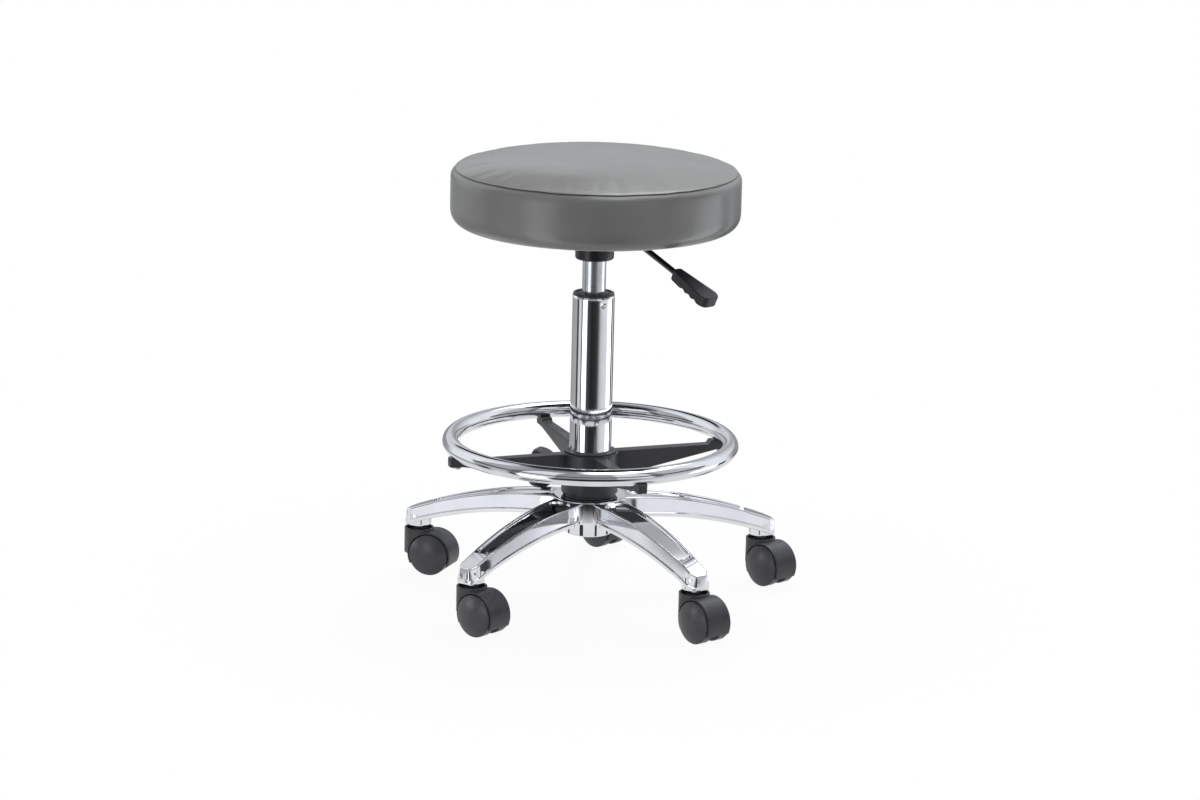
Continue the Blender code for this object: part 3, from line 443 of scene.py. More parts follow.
def noise_on(tree, scale, detail, vector=None):
    """A noise texture on the piece's own coordinates, or on a vector that is given."""
    if vector is None:
        vector = own_place(tree)
    return node(tree, "ShaderNodeTexNoise",
                {"Vector": vector, "Scale": scale, "Detail": detail}).outputs["Fac"]


def effect(name, outputs, *inputs):
    """An empty shader group with float sockets."""
    return node_group(name, "ShaderNodeTree", dict.fromkeys(outputs, "Float"),
                      **dict.fromkeys(inputs, "Float"))


def grain_effect():
    """Moulded plastic and paint: a fine grain for the bump, and broad patches for the gloss."""
    tree, given, result = effect("moulded_grain", ("Height", "Patches"), "Grain_Scale", "Patch_Scale")
    tree.links.new(noise_on(tree, given["Grain Scale"], detail=3.0), result["Height"])
    tree.links.new(noise_on(tree, given["Patch Scale"], detail=4.0), result["Patches"])
    return tree


def polish_effect():
    """Polished metal: hairlines drawn out along Z, wipe marks, and the slow waves of a polished skin."""
    tree, given, result = effect("polish_marks", ("Lines", "Smudges", "Waves"), "Line_Scale", "Wave_Scale")
    along_z = drawn_out(tree, 1.0, 1.0, 0.03)
    tree.links.new(noise_on(tree, given["Line Scale"], detail=2.0, vector=along_z), result["Lines"])
    tree.links.new(noise_on(tree, scale=34.0, detail=5.0), result["Smudges"])
    tree.links.new(noise_on(tree, given["Wave Scale"], detail=1.0), result["Waves"])
    return tree


GRAIN, POLISH = grain_effect(), polish_effect()
print("effects:", GRAIN.name, POLISH.name)

# %% [markdown]
# Upholstery vinyl is embossed by a roller with small rounded pebbles. The distance to the edge of Voronoi
# cells gives flat-topped pebbles with narrow valleys between them, and a little noise on the coordinates
# keeps the cells from having straight sides.

# %% Node group: vinyl pebbles
def pebble_effect():
    """Embossed vinyl: rounded pebbles with narrow valleys, and a broad mottle."""
    tree, given, result = effect("vinyl_pebbles", ("Height", "Valleys", "Mottle"), "Pebble_Scale")
    wander = node(tree, "ShaderNodeTexNoise", {"Vector": own_place(tree), "Scale": 320.0})
    weak = node(tree, "ShaderNodeVectorMath", {0: wander.outputs["Color"], "Scale": 0.0009},
                operation="SCALE")
    bent = node(tree, "ShaderNodeVectorMath", {0: own_place(tree), 1: weak.outputs["Vector"]},
                operation="ADD")
    cells = node(tree, "ShaderNodeTexVoronoi",
                 {"Vector": bent.outputs["Vector"], "Scale": given["Pebble Scale"]},
                 feature="DISTANCE_TO_EDGE")
    dome = node(tree, "ShaderNodeMapRange", {"Value": cells.outputs["Distance"], "From Max": 0.28},
                interpolation_type="SMOOTHSTEP")
    for label in ("Height", "Valleys"):
        tree.links.new(dome.outputs["Result"], result[label])
    tree.links.new(noise_on(tree, scale=26.0, detail=4.0), result["Mottle"])
    return tree


PEBBLES = pebble_effect()
print("effect:", PEBBLES.name, "with", len(PEBBLES.nodes), "nodes")

# %% [markdown]
# ## Materials
#
# `finish` starts a material on the Principled shader, with every constant set on the shader's own socket.
# `spread` maps a value of a group onto the range that a socket needs, `tinted` turns it into a colour, and
# `relief` turns a height into a bump of a real depth in metres.

# %% Material builders
def finish(name, colour, roughness, metallic=0.0, **sockets):
    """A new material, its tree and the inputs of its shader."""
    material = bpy.data.materials.new(name)
    material.use_nodes = True
    material.diffuse_color = (*colour, 1.0)
    shader = material.node_tree.nodes["Principled BSDF"].inputs
    sockets.update(Base_Color=(*colour, 1.0), Roughness=roughness, Metallic=metallic)
    for label, value in sockets.items():
        shader[label.replace("_", " ")].default_value = value
    return material, material.node_tree, shader


def use(tree, group, **inputs):
    """Places an effect in a material, with its own values."""
    values = {label.replace("_", " "): value for label, value in inputs.items()}
    return node(tree, "ShaderNodeGroup", values, node_tree=group).outputs


def spread(tree, value, low, high, start=0.3, end=0.7, **settings):
    """Maps a value from its range, start to end, onto low to high."""
    limits = {"Value": value, "From Min": start, "From Max": end, "To Min": low, "To Max": high}
    return node(tree, "ShaderNodeMapRange", limits, **settings).outputs["Result"]


def tinted(tree, value, dark, light, start=0.3, end=0.7):
    """A colour between two, by a value that changes over the surface."""
    ramp = node(tree, "ShaderNodeValToRGB", {"Fac": value})
    for stop, place, colour in zip(ramp.color_ramp.elements, (start, end), (dark, light)):
        stop.position = place
        stop.color = (*colour, 1.0)
    return ramp.outputs["Color"]


def relief(tree, shader, *layers):
    """Bump from (height, depth in metres, strength) layers, one on the other."""
    normal = {}
    for height, depth, strength in layers:
        bump = node(tree, "ShaderNodeBump",
                    {"Height": height, "Distance": depth, "Strength": strength, **normal})
        normal = {"Normal": bump.outputs["Normal"]}
    tree.links.new(normal["Normal"], shader["Normal"])


print("material builders: finish, use, spread, tinted, relief")

# %% [markdown]
# The metals come first. The column and ring are mirror chrome: almost no roughness, faint hairlines and
# wipe marks. The base is a polished casting, so its skin also waves a little and bends the reflections.
# The gas cylinder is ground and chromed, which is greyer and softer. Screws and bolts are zinc plated, and
# the castors' stems and axles are turned bright.

# %% Metals
def metal(name, dark, light, rough, line_scale, lines, waves, wave_scale=22.0):
    """Lines and waves are depths in metres."""
    material, tree, shader = finish(name, light, rough[0], 1.0)
    marks = use(tree, POLISH, Line_Scale=line_scale, Wave_Scale=wave_scale)
    tree.links.new(tinted(tree, marks["Smudges"], dark, light, start=0.25, end=0.6), shader["Base Color"])
    tree.links.new(spread(tree, marks["Smudges"], rough[1], rough[0]), shader["Roughness"])
    relief(tree, shader, (marks["Waves"], waves, 1.0), (marks["Lines"], lines, 0.5))
    return material


MIRROR_CHROME = metal("mirror_chrome", (0.83, 0.835, 0.85), (0.90, 0.905, 0.915), (0.03, 0.065),
                      line_scale=1100.0, lines=0.0000012, waves=0.00002)
RING_CHROME = metal("ring_chrome", (0.69, 0.705, 0.735), (0.78, 0.79, 0.815), (0.02, 0.050),
                    line_scale=900.0, lines=0.0000012, waves=0.00006)
POLISHED_BASE = metal("polished_casting", (0.765, 0.777, 0.802), (0.85, 0.858, 0.878), (0.03, 0.070),
                      line_scale=700.0, lines=0.0000012, waves=0.00012, wave_scale=16.0)
GROUND_CHROME = metal("ground_chrome", (0.62, 0.63, 0.65), (0.74, 0.75, 0.77), (0.15, 0.24),
                      line_scale=1500.0, lines=0.00001, waves=0.00004)
ZINC = metal("zinc_plate", (0.56, 0.57, 0.59), (0.68, 0.69, 0.71), (0.24, 0.38),
             line_scale=1300.0, lines=0.00002, waves=0.0001, wave_scale=60.0)
BRIGHT_STEM = metal("bright_stem", (0.74, 0.745, 0.755), (0.84, 0.845, 0.855), (0.10, 0.20),
                    line_scale=1300.0, lines=0.00001, waves=0.00005, wave_scale=60.0)
print("metals:", MIRROR_CHROME.name, RING_CHROME.name, POLISHED_BASE.name, GROUND_CHROME.name, ZINC.name,
      BRIGHT_STEM.name)

# %% [markdown]
# Plastics and paints differ in how fine their grain is and how even their gloss. The spider, knob and bush
# are satin black, the lever's grip is blacker and duller, the castors are a dark grey with a spark-eroded
# grain, and the lever's rod has a glossy black coat. One builder makes them all, so that they can be
# compared line by line.

# %% Plastics, paint and rubber
def moulded(name, dark, light, rough, grain, depth, strength=0.6, patch=40.0, **sockets):
    """Grain and patch are scales, and depth is the grain's depth in metres."""
    material, tree, shader = finish(name, light, rough[0], 0.0, **sockets)
    skin = use(tree, GRAIN, Grain_Scale=grain, Patch_Scale=patch)
    tree.links.new(tinted(tree, skin["Patches"], dark, light), shader["Base Color"])
    tree.links.new(spread(tree, skin["Patches"], rough[0], rough[1]), shader["Roughness"])
    relief(tree, shader, (skin["Height"], depth, strength))
    return material


SATIN_BLACK = moulded("satin_black_plastic", (0.037, 0.037, 0.041), (0.052, 0.052, 0.057), (0.28, 0.40),
                      grain=2600.0, depth=0.00005)
GRIP_BLACK = moulded("grip_black_plastic", (0.019, 0.019, 0.022), (0.027, 0.027, 0.031), (0.40, 0.52),
                     grain=1700.0, depth=0.00010)
CASTOR_GREY = moulded("castor_grey_plastic", (0.052, 0.052, 0.060), (0.068, 0.068, 0.078), (0.34, 0.44),
                      grain=1900.0, depth=0.00009, strength=0.7, patch=60.0)
WHEEL_GREY = moulded("wheel_grey_plastic", (0.050, 0.051, 0.060), (0.066, 0.067, 0.078), (0.31, 0.36),
                     grain=2100.0, depth=0.00006, patch=90.0, Specular_IOR_Level=0.4)
SATIN_PAINT = moulded("satin_black_paint", (0.012, 0.012, 0.013), (0.018, 0.018, 0.019), (0.26, 0.36),
                      grain=1400.0, depth=0.00003, strength=0.5)
GLOSS_PAINT = moulded("gloss_black_paint", (0.010, 0.010, 0.011), (0.014, 0.014, 0.015), (0.13, 0.20),
                      grain=900.0, depth=0.00002, strength=0.4, patch=80.0,
                      Specular_IOR_Level=1.0, Coat_Weight=1.0, Coat_Roughness=0.06)
RUBBER = moulded("black_rubber", (0.016, 0.016, 0.016), (0.025, 0.025, 0.025), (0.70, 0.85),
                 grain=1500.0, depth=0.00012)
print("plastics and paints:", SATIN_BLACK.name, GRIP_BLACK.name, CASTOR_GREY.name, WHEEL_GREY.name,
      SATIN_PAINT.name, GLOSS_PAINT.name, RUBBER.name)

# %% [markdown]
# The seat's cover is a grey upholstery vinyl: pebbles of little over a millimetre, a satin top coat, and a
# faint mottle from handling. Along the seam the colour is darkened, as painted shade of the seam's groove.
# The shade follows the cover's own points, so it comes from an attribute of the mesh, named seam, which the
# seat's cell fills.

# %% Vinyl
def vinyl():
    material, tree, shader = finish("grey_vinyl", (0.235, 0.235, 0.232), 0.38, Specular_IOR_Level=0.5,
                                    Coat_Weight=0.60, Coat_Roughness=0.20)
    skin = use(tree, PEBBLES, Pebble_Scale=780.0)
    mottled = tinted(tree, skin["Mottle"], (0.222, 0.222, 0.219), (0.246, 0.246, 0.243))
    # The seam attribute darkens the colour along the seam's groove, as painted shade.
    seam_shade = node(tree, "ShaderNodeAttribute", attribute_name="seam")
    shaded = node(tree, "ShaderNodeMix",
                  {"Factor": seam_shade.outputs["Fac"], "A": mottled, "B": (0.30, 0.30, 0.30, 1.0)},
                  data_type="RGBA", blend_type="MULTIPLY")
    tree.links.new(shaded.outputs["Result"], shader["Base Color"])
    gloss = spread(tree, skin["Valleys"], low=0.44, high=0.30, start=0.0, end=1.0)
    tree.links.new(gloss, shader["Roughness"])
    relief(tree, shader, (skin["Height"], 0.00007, 0.55))
    return material


VINYL = vinyl()
print("vinyl:", VINYL.name)

# %% [markdown]
# Under the seat there is a black non-woven cloth on a plywood board. The board's fibres are noise that is
# drawn out along the grain and pressed flat across it, so its edge shows plies. The cloth's bond points are
# Voronoi cells that hardly stray from a grid.

# %% Plywood and cover cloth
def plywood():
    material, tree, shader = finish("birch_plywood", (0.50, 0.36, 0.21), 0.62)
    fibre = noise_on(tree, scale=1.0, detail=4.0, vector=drawn_out(tree, 6.0, 90.0, 620.0))
    grained = tinted(tree, fibre, (0.36, 0.24, 0.13), (0.60, 0.45, 0.28), start=0.35, end=0.65)
    tree.links.new(grained, shader["Base Color"])
    relief(tree, shader, (fibre, 0.0002, 0.4))
    return material


def cover_cloth():
    material, tree, shader = finish("black_cover_cloth", (0.014, 0.014, 0.015), 0.9, Sheen_Weight=0.15)
    bonds = node(tree, "ShaderNodeTexVoronoi",
                 {"Vector": own_place(tree), "Scale": 620.0, "Randomness": 0.25}).outputs["Distance"]
    spotted = tinted(tree, bonds, (0.008, 0.008, 0.009), (0.020, 0.020, 0.022), start=0.1, end=0.6)
    tree.links.new(spotted, shader["Base Color"])
    tree.links.new(spread(tree, bonds, low=0.78, high=0.95, start=0.1, end=0.6), shader["Roughness"])
    relief(tree, shader, (bonds, 0.0003, 0.7))
    return material


PLYWOOD, COVER_CLOTH = plywood(), cover_cloth()
print("board and cloth:", PLYWOOD.name, COVER_CLOTH.name)

# %% [markdown]
# ## The seat
#
# The seat is a foam disc in grey vinyl: a crowned top panel sewn to a straight side band, which is pulled
# round the board and stapled below. The cover is drawn as it is cut, in rows from the crown to the board, a
# little flatter than it ends up. Each row says how far the foam may move it, and how much painted shade of
# the seam it gets.

# %% Rows of the seat's cover
SEAT_R, SEAT_BOTTOM, SEAT_TOP = reach("seat_cushion")
BOARD_R, BOARD_TOP = reach("seat_board")[::2]
SEAM_R, SEAM_Z = SEAT_R - 0.0042, SEAT_BOTTOM + 0.0664
CROWN = (SEAT_TOP - SEAM_Z) * 0.73
BAND_DROP, LOWER_ROUND = 0.0085, 0.018
WRAP_R, WRAP_T = BOARD_R - 0.011, 0.0012
HELD, TOP_ROOM, EDGE_ROOM = 0.0, 0.0020, 0.0010
BULGE_ROOM, SIDE_ROOM, LOWER_ROOM = 0.0006, 0.0012, 0.0004


def crown_row(t, room):
    """A row of the top panel at t of the seam's radius."""
    return SEAM_R * t, SEAM_Z + CROWN * (1 - t ** 3.4) ** 0.72, room, 0.0


def wrapped_rows():
    """The held rows where the cover goes round the board and closes over it."""
    nest, lid, hem = BOARD_R + GAP, BOARD_TOP + GAP, SEAT_BOTTOM + WRAP_T
    line = [((BOARD_R + WRAP_R) / 2, SEAT_BOTTOM), (WRAP_R + 0.0005, SEAT_BOTTOM),
            (WRAP_R, SEAT_BOTTOM + 0.0004), (WRAP_R, hem), (nest - 0.0006, hem),
            (nest, SEAT_BOTTOM + 0.002), (nest, BOARD_TOP), (nest - 0.0004, lid), (nest * 0.5, lid),
            (0.0, lid)]
    return [(r, z, HELD, 0.0) for r, z in line]


def cover_rows():
    """Rows from the crown to the board: (radius, height, how far it may move, how much painted seam shade).
    """
    rows = [crown_row((k / 27) ** 0.92, TOP_ROOM) for k in range(27)]
    rows += [crown_row(t, EDGE_ROOM) for t in (0.975, 0.983, 0.990, 0.996)]
    # The seam rows are held; their last value is how much painted shade the seam's groove gets.
    for out, up, seam_shade in ((-0.0009, 0.0004, 0.5), (-0.0020, -0.0002, 1.0), (-0.0004, -0.0008, 0.5),
                          (0.0012, -0.0022, 0.0)):
        rows.append((SEAM_R + out, SEAM_Z + up, HELD, seam_shade))
    for t in (0.5, 0.75, 1.0):
        bulge = math.sin(t * math.pi / 2)
        rows.append((between(SEAM_R, SEAT_R, bulge), SEAM_Z - BAND_DROP * t, BULGE_ROOM, 0.0))
    side_low = SEAT_BOTTOM + LOWER_ROUND
    rows += [(SEAT_R, between(SEAM_Z - BAND_DROP, side_low, k / 8), SIDE_ROOM, 0.0) for k in range(1, 9)]
    for lean in (15, 30, 45, 60, 75, 90):
        a = math.radians(lean)
        rows.append((SEAT_R - LOWER_ROUND * (1 - math.cos(a)), side_low - LOWER_ROUND * math.sin(a),
                     LOWER_ROOM, 0.0))
    return rows + wrapped_rows()


COVER_ROWS = cover_rows()
print("seat cover: %d rows, %.1f mm across" % (len(COVER_ROWS), SEAT_R * 2000))

# %% [markdown]
# A sewn seam is never quite even, because the cover's tension differs round the rim. Points could be moved
# by hand, but a noise that is read along a circle closes on itself. So the rows near the seam rise and fall
# by about half a millimetre, by two noises that run round the seat.

# %% Seat cover as cut
SEAT_AROUND = 160
SEAM_REACH, SEAM_UNEVEN, SEAM_FINE = 0.006, 0.00055, 0.00030


def seam_shift(r, z, a):
    """How far the cover is off at an angle, next to the seam."""
    if z <= SEAM_Z - 0.03 or r <= SEAM_R * 0.93:
        return 0.0
    uneven = noise.noise(Vector((math.cos(a) * 7.0, math.sin(a) * 7.0, 3.1)))
    fine = noise.noise(Vector((math.cos(a) * 19.0, math.sin(a) * 19.0, 8.7)))
    return math.exp(-((z - SEAM_Z) / SEAM_REACH) ** 2) * (SEAM_UNEVEN * uneven + SEAM_FINE * fine)


def cover_as_cut(rows):
    """The cover's mesh with the painted shade of its seam as an attribute, and the room that each point has
    to move.
    """
    verts, faces, room, seam, starts = [], [], [], [], []
    for r, z, move, seam_shade in rows:
        starts.append(len(verts))
        for k in range(SEAT_AROUND if r > 1e-7 else 1):
            a = 2 * math.pi * k / SEAT_AROUND
            shift = seam_shift(r, z, a)
            verts.append(((r + shift * 0.6) * math.cos(a), (r + shift * 0.6) * math.sin(a), z + shift))
            room.append(move)
            seam.append(seam_shade)
    for i, (a, b) in enumerate(zip(starts, starts[1:])):
        for k in range(SEAT_AROUND):
            j = (k + 1) % SEAT_AROUND
            if rows[i][0] < 1e-7:
                faces.append((a, b + k, b + j))
            elif rows[i + 1][0] < 1e-7:
                faces.append((a + j, a + k, b))
            else:
                faces.append((a + k, b + k, b + j, a + j))
    mesh = bpy.data.meshes.new("seat_cover")
    mesh.from_pydata(verts, [], faces)
    # The seam attribute carries the painted shade of the seam's groove.
    mesh.attributes.new("seam", "FLOAT", "POINT").data.foreach_set("value", seam)
    return mesh, np.array(room)


cover_mesh, cover_room = cover_as_cut(COVER_ROWS)
print("seat cover:", len(cover_mesh.vertices), "points")

# %% [markdown]
# A cloth simulation then inflates the cover, as foam does that is thicker than its cover, while the seam and
# the stapled underside hold still. Sculpting could do the same, but not from numbers. The solver works on a
# copy, without gravity or collisions, because only the pressure inside matters here.

# %% A copy of the cover is inflated
FOAM_FRAMES = 20
CLOTH = {"quality": 6, "mass": 0.25, "tension_stiffness": 18, "compression_stiffness": 18,
         "bending_stiffness": 1.2, "use_pressure": True, "uniform_pressure_force": 4.0,
         "vertex_group_mass": "held"}


def swollen_copy(mesh, room):
    """A copy of the cover after the cloth solver has inflated it."""
    obj = in_scene("seat_cloth", mesh.copy())
    held = obj.vertex_groups.new(name="held")
    held.add([int(i) for i in np.flatnonzero(room == HELD)], 1.0, "REPLACE")
    held.add([int(i) for i in np.flatnonzero((room > HELD) & (room <= EDGE_ROOM))], 0.5, "REPLACE")
    cloth = obj.modifiers.new("cloth", "CLOTH")
    for name, value in CLOTH.items():
        setattr(cloth.settings, name, value)
    cloth.settings.effector_weights.gravity = 0.0
    cloth.collision_settings.use_collision = False
    cloth.collision_settings.use_self_collision = False
    cloth.point_cache.frame_start, cloth.point_cache.frame_end = 1, FOAM_FRAMES
    for step in range(1, FOAM_FRAMES + 1):
        bpy.context.scene.frame_set(step)
    return settled(obj)


print("cloth: %d frames at a pressure of %.1f" % (FOAM_FRAMES, CLOTH["uniform_pressure_force"]))

# %% [markdown]
# The cover then goes the solver's way, but no point goes further than its own room, so the seat stays the
# size of its solid. One level of Subdivision Surface smooths the result.

# %% The foam fills the cover
def points_of(mesh):
    """The mesh's points as rows of an array."""
    flat = np.empty(len(mesh.vertices) * 3)
    mesh.vertices.foreach_get("co", flat)
    return flat.reshape(-1, 3)


def fill(mesh, room):
    """Moves the cover as the solver does, but no point further than its room."""
    start, end = points_of(mesh), points_of(swollen_copy(mesh, room))
    bpy.context.scene.frame_set(1)
    way = end - start
    length = np.linalg.norm(way, axis=1)
    kept = room * np.tanh(length / np.maximum(room, 1e-9)) / np.maximum(length, 1e-9)
    kept = np.where(length > 1e-9, kept, 0)
    mesh.vertices.foreach_set("co", (start + way * kept[:, None]).ravel())
    mesh.update()
    return float(length.max()), float((length * kept).max())


free, kept_way = fill(cover_mesh, cover_room)
print("foam moves the cover %.1f mm, of which %.1f mm is kept" % (free * 1000, kept_way * 1000))
cover = in_scene("seat_cover", cover_mesh)
smooth = cover.modifiers.new("smooth", "SUBSURF")
smooth.levels = smooth.render_levels = 1
upholstery = hand_over("seat_upholstery", settled(cover, sharp=60.0), VINYL, "seat", "grey_vinyl",
                       "seat_cushion")

# %% [markdown]
# Under the seat a non-woven cloth closes the board, cut as a disc and stapled along its rim. It is loose by
# a hair between the staples. A disc of rings gets that from a noise, and Solidify gives it the cloth's
# thickness.

# %% Dust cover
DUST_R, DUST_TOP = reach("dust_cover")[::2]
DUST_Z, DUST_LOOSE, DUST_T = DUST_TOP - 0.00045, 0.00015, 0.0004


def dust_disc(around=120, rows=14):
    """A disc that is slightly uneven between its middle and its rim."""
    shell = bmesh.new()
    rings = []
    for i in range(1, rows + 1):
        ring = []
        r = DUST_R * i / rows
        for x, y, z in circle_at(1.0, DUST_Z, around):
            loose = math.sin(math.pi * i / rows) * noise.noise(Vector((x * 3, y * 3, i * 0.3)))
            ring.append(shell.verts.new((r * x, r * y, z + DUST_LOOSE * loose)))
        rings.append(ring)
    middle = shell.verts.new((0, 0, DUST_Z))
    for k in range(around):
        j = (k + 1) % around
        shell.faces.new((middle, rings[0][j], rings[0][k]))
        for a, b in zip(rings, rings[1:]):
            shell.faces.new((a[k], a[j], b[j], b[k]))
    return mesh_from("dust_cover", shell, sharp=60.0)


dust = in_scene("dust", dust_disc())
felt = dust.modifiers.new("felt", "SOLIDIFY")
felt.thickness = DUST_T
felt.offset = 0.0
dust_cover = hand_over("dust_cloth", settled(dust, sharp=60.0), COVER_CLOTH, "seat", "cover_cloth",
                       "dust_cover")

# %% [markdown]
# The staples are one small bent wire, repeated in a ring. Only the crown of each shows, with its ends
# turned into the board.

# %% Staples
STAPLES, FIRST_STAPLE = 30, 4.0
STAPLE_HALF, STAPLE_BEND, STAPLE_TURN = 0.005, 0.0003, 0.0004
STAPLE_Z, STAPLE_T, STAPLE_W = DUST_TOP - 0.0011, 0.0005, 0.0006


def staple():
    """One staple: a flat wire, 10 mm long, lying along the rim."""
    sections = []
    end, straight, w = STAPLE_HALF, STAPLE_HALF - STAPLE_BEND, STAPLE_W
    for y, up in ((-end, STAPLE_TURN), (-straight, 0.0), (straight, 0.0), (end, STAPLE_TURN)):
        low = STAPLE_Z + up
        high = low + STAPLE_T
        sections.append([(-w, y, low), (w, y, low), (w, y, high), (-w, y, high)])
    return loft("staple", sections, sharp=30.0)


staples = ring_of(staple(), STAPLES, ZINC, radius=DUST_R - 0.006, first=FIRST_STAPLE)
hand_over("dust_cloth_staples", staples, ZINC, "seat", "steel")

# %% [markdown]
# ## Seat mount
#
# A square steel plate carries a turned socket, both in satin black. The plate is lofted from rounded
# squares, so its edges are broken as on sheared steel. The socket is turned, with a weld fillet where it
# meets the plate and a well rounded lower edge, and a Boolean drills the hole that the lever goes through.

# %% Plate and socket
MOUNT_BOTTOM, MOUNT_TOP = (corner.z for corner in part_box("seat_mount"))
PLATE_HALF, PLATE_CORNER, PLATE_T = 0.075, 0.014, 0.0025
PLATE_BOTTOM = MOUNT_TOP - PLATE_T
PLATE_EDGE = ((0.0, 0.0007), (0.0002, 0.0002), (0.0007, 0.0), (0.0018, 0.0), (0.0023, 0.0002),
              (PLATE_T, 0.0007))
SOCKET_R, SOCKET_BORE = 0.023, 0.0185
LEVER_AZIMUTH, LEVER_Z = -43.5, PLATE_BOTTOM - 0.0097


def rounded_square(half, corner, z, steps=8):
    ring = []
    for quarter in range(4):
        x = (half - corner) * (1 if quarter in (0, 3) else -1)
        y = (half - corner) * (1 if quarter in (0, 1) else -1)
        for k in range(steps + 1):
            a = math.pi / 2 * (quarter + k / steps)
            ring.append((x + corner * math.cos(a), y + corner * math.sin(a), z))
    return ring


def cylinder_tool(name, radius, low, high, steps, place):
    """A plain cylinder to cut with, from low to high along the place's Z."""
    mesh = lathe(name, [(0, low), (radius, low), (radius, high), (0, high)], steps)
    mesh.transform(place)
    return mesh


def socket_mesh():
    bore, step_z, weld_z = CYLINDER_R + GAP, PLATE_BOTTOM - 0.0157, PLATE_BOTTOM + 0.0010
    line = [(SOCKET_R + 0.0026, weld_z), (SOCKET_R, PLATE_BOTTOM - 0.0026, 0.003),
            (SOCKET_R, MOUNT_BOTTOM, 0.0036), (bore, MOUNT_BOTTOM, 0.0006), (bore, step_z),
            (SOCKET_BORE, step_z), (SOCKET_BORE, weld_z)]
    lever_hole = cylinder_tool("lever_hole", 0.0045, 0.0145, 0.033, 32, radial_place(LEVER_AZIMUTH, LEVER_Z))
    return shaped("socket", lathe("socket", rounded(line, 6)), cut=[lever_hole], angle=60.0)


plate = loft("plate", [rounded_square(PLATE_HALF - inset, PLATE_CORNER - inset, PLATE_BOTTOM + up)
                       for up, inset in PLATE_EDGE])
plate.transform(about_z(LEVER_AZIMUTH))
mount = joined_meshes("seat_mount", [plate, socket_mesh()])
hand_over("seat_mount_painted", mount, SATIN_PAINT, "seat", "black_steel", "seat_mount")

# %% [markdown]
# Four hex bolts hold the plate to the board. A bolt is three plain forms: a six-sided loft with its corners
# broken, a turned washer and a shank. The ring tree sets the four in a square.

# %% Plate bolts
BOLTS, BOLT_SQUARE = 4, 0.058


def hex_bolt():
    """Hex head below the plate, with its washer face and shank."""
    top = PLATE_BOTTOM - GAP
    washer_low = top - 0.0007
    head = loft("head", [circle_at(r, top - down, 6) for r, down in
                         ((0.0046, 0.0040), (0.0055, 0.0034), (0.0055, 0.0004), (0.0052, 0.0))], sharp=20.0)
    washer = lathe("washer", rounded([(0, washer_low), (0.0068, washer_low, 0.0003), (0.0068, top, 0.0003),
                                      (0, top)]), steps=32)
    shank = lathe("shank", [(0, top - 0.001), (0.003, top - 0.001), (0.003, top + 0.0142),
                            (0, top + 0.0145)], steps=16)
    return joined_meshes("bolt", [head, washer, shank])


bolts = ring_of(hex_bolt(), BOLTS, ZINC, radius=BOLT_SQUARE * math.sqrt(2), first=LEVER_AZIMUTH + 45.0)
hand_over("plate_bolts", bolts, ZINC, "seat", "steel", *numbered("plate_bolt", BOLTS))

# %% [markdown]
# ## Gas cylinder
#
# The pressure tube of the lift is ground steel with a thin chrome skin, closed at its head and open below,
# where the rod goes in. It is one turned profile: the hole for the release button, the outside, and the
# bore.

# %% Gas cylinder
CYLINDER_BORE, CYLINDER_HEAD = CYLINDER_R - 0.0015, CYLINDER_TOP - 0.016
BUTTON_HOLE, BUTTON_FLOOR = 0.0043, CYLINDER_TOP - 0.011
cylinder_line = [(0, BUTTON_FLOOR), (BUTTON_HOLE, BUTTON_FLOOR), (BUTTON_HOLE, CYLINDER_TOP, 0.0003),
                 (CYLINDER_R - 0.0006, CYLINDER_TOP, 0.0006), (CYLINDER_R, MOUNT_BOTTOM),
                 (CYLINDER_R, MOUNT_BOTTOM - GAP), (CYLINDER_R, CYLINDER_BOTTOM, 0.0005),
                 (CYLINDER_BORE, CYLINDER_BOTTOM), (CYLINDER_BORE, CYLINDER_HEAD), (0, CYLINDER_HEAD)]
cylinder = lathe("gas_cylinder", rounded(cylinder_line))
hand_over("gas_cylinder_chromed", cylinder, GROUND_CHROME, "seat", "cylinder_chrome", "gas_cylinder")

# %% [markdown]
# ## Release lever
#
# The lever is a bent rod with a glossy black coat, and a paddle grip pressed on its end. The rod follows a
# path, so it comes from the tube tree: straight out of the socket, one bend, and straight down the slope.

# %% Lever rod
LEVER_SLOPE = math.radians(22.4)
LEVER_STRAIGHT, LEVER_BEND, LEVER_ARM, LEVER_TAIL = 0.0735, 0.016, 0.0575, 0.026
ROD_R = 0.0035


def on_bend(a):
    """A point of the bend after it has turned by an angle."""
    return LEVER_STRAIGHT + LEVER_BEND * math.sin(a), LEVER_Z - LEVER_BEND * (1 - math.cos(a))


def down_slope(way):
    """A point on the sloped part, a way after the bend."""
    x, z = on_bend(LEVER_SLOPE)
    return x + way * math.cos(LEVER_SLOPE), z - way * math.sin(LEVER_SLOPE)


lever_path = [(-0.010, LEVER_Z), (0.02, LEVER_Z), (0.05, LEVER_Z)]
lever_path += [on_bend(LEVER_SLOPE * k / 12) for k in range(13)]
lever_path += [down_slope((LEVER_ARM + LEVER_TAIL) * t) for t in (0.5, 1.0)]
rod = tube_along([(x, 0.0, z) for x, z in lever_path], GLOSS_PAINT, ROD_R, sides=24)
rod.transform(about_z(LEVER_AZIMUTH))
hand_over("lever_rod_coated", rod, GLOSS_PAINT, "lever", "black_steel", "lever_rod")

# %% [markdown]
# The grip widens to its end, and has a flat top with clear edges and three finger hollows below. Its section
# is drawn at many places along its length, and the loft joins them. The places are closest where the ends
# turn round.

# %% Lever grip
GRIP_LONG = 0.064
HOLLOW_START, HOLLOW_END, HOLLOW_DEEP = 0.28, 0.82, 0.0018


def turned_in(share):
    """How far a quarter circle has come in at a share of its radius."""
    return 1 - math.sqrt(max(1 - share * share, 0.0))


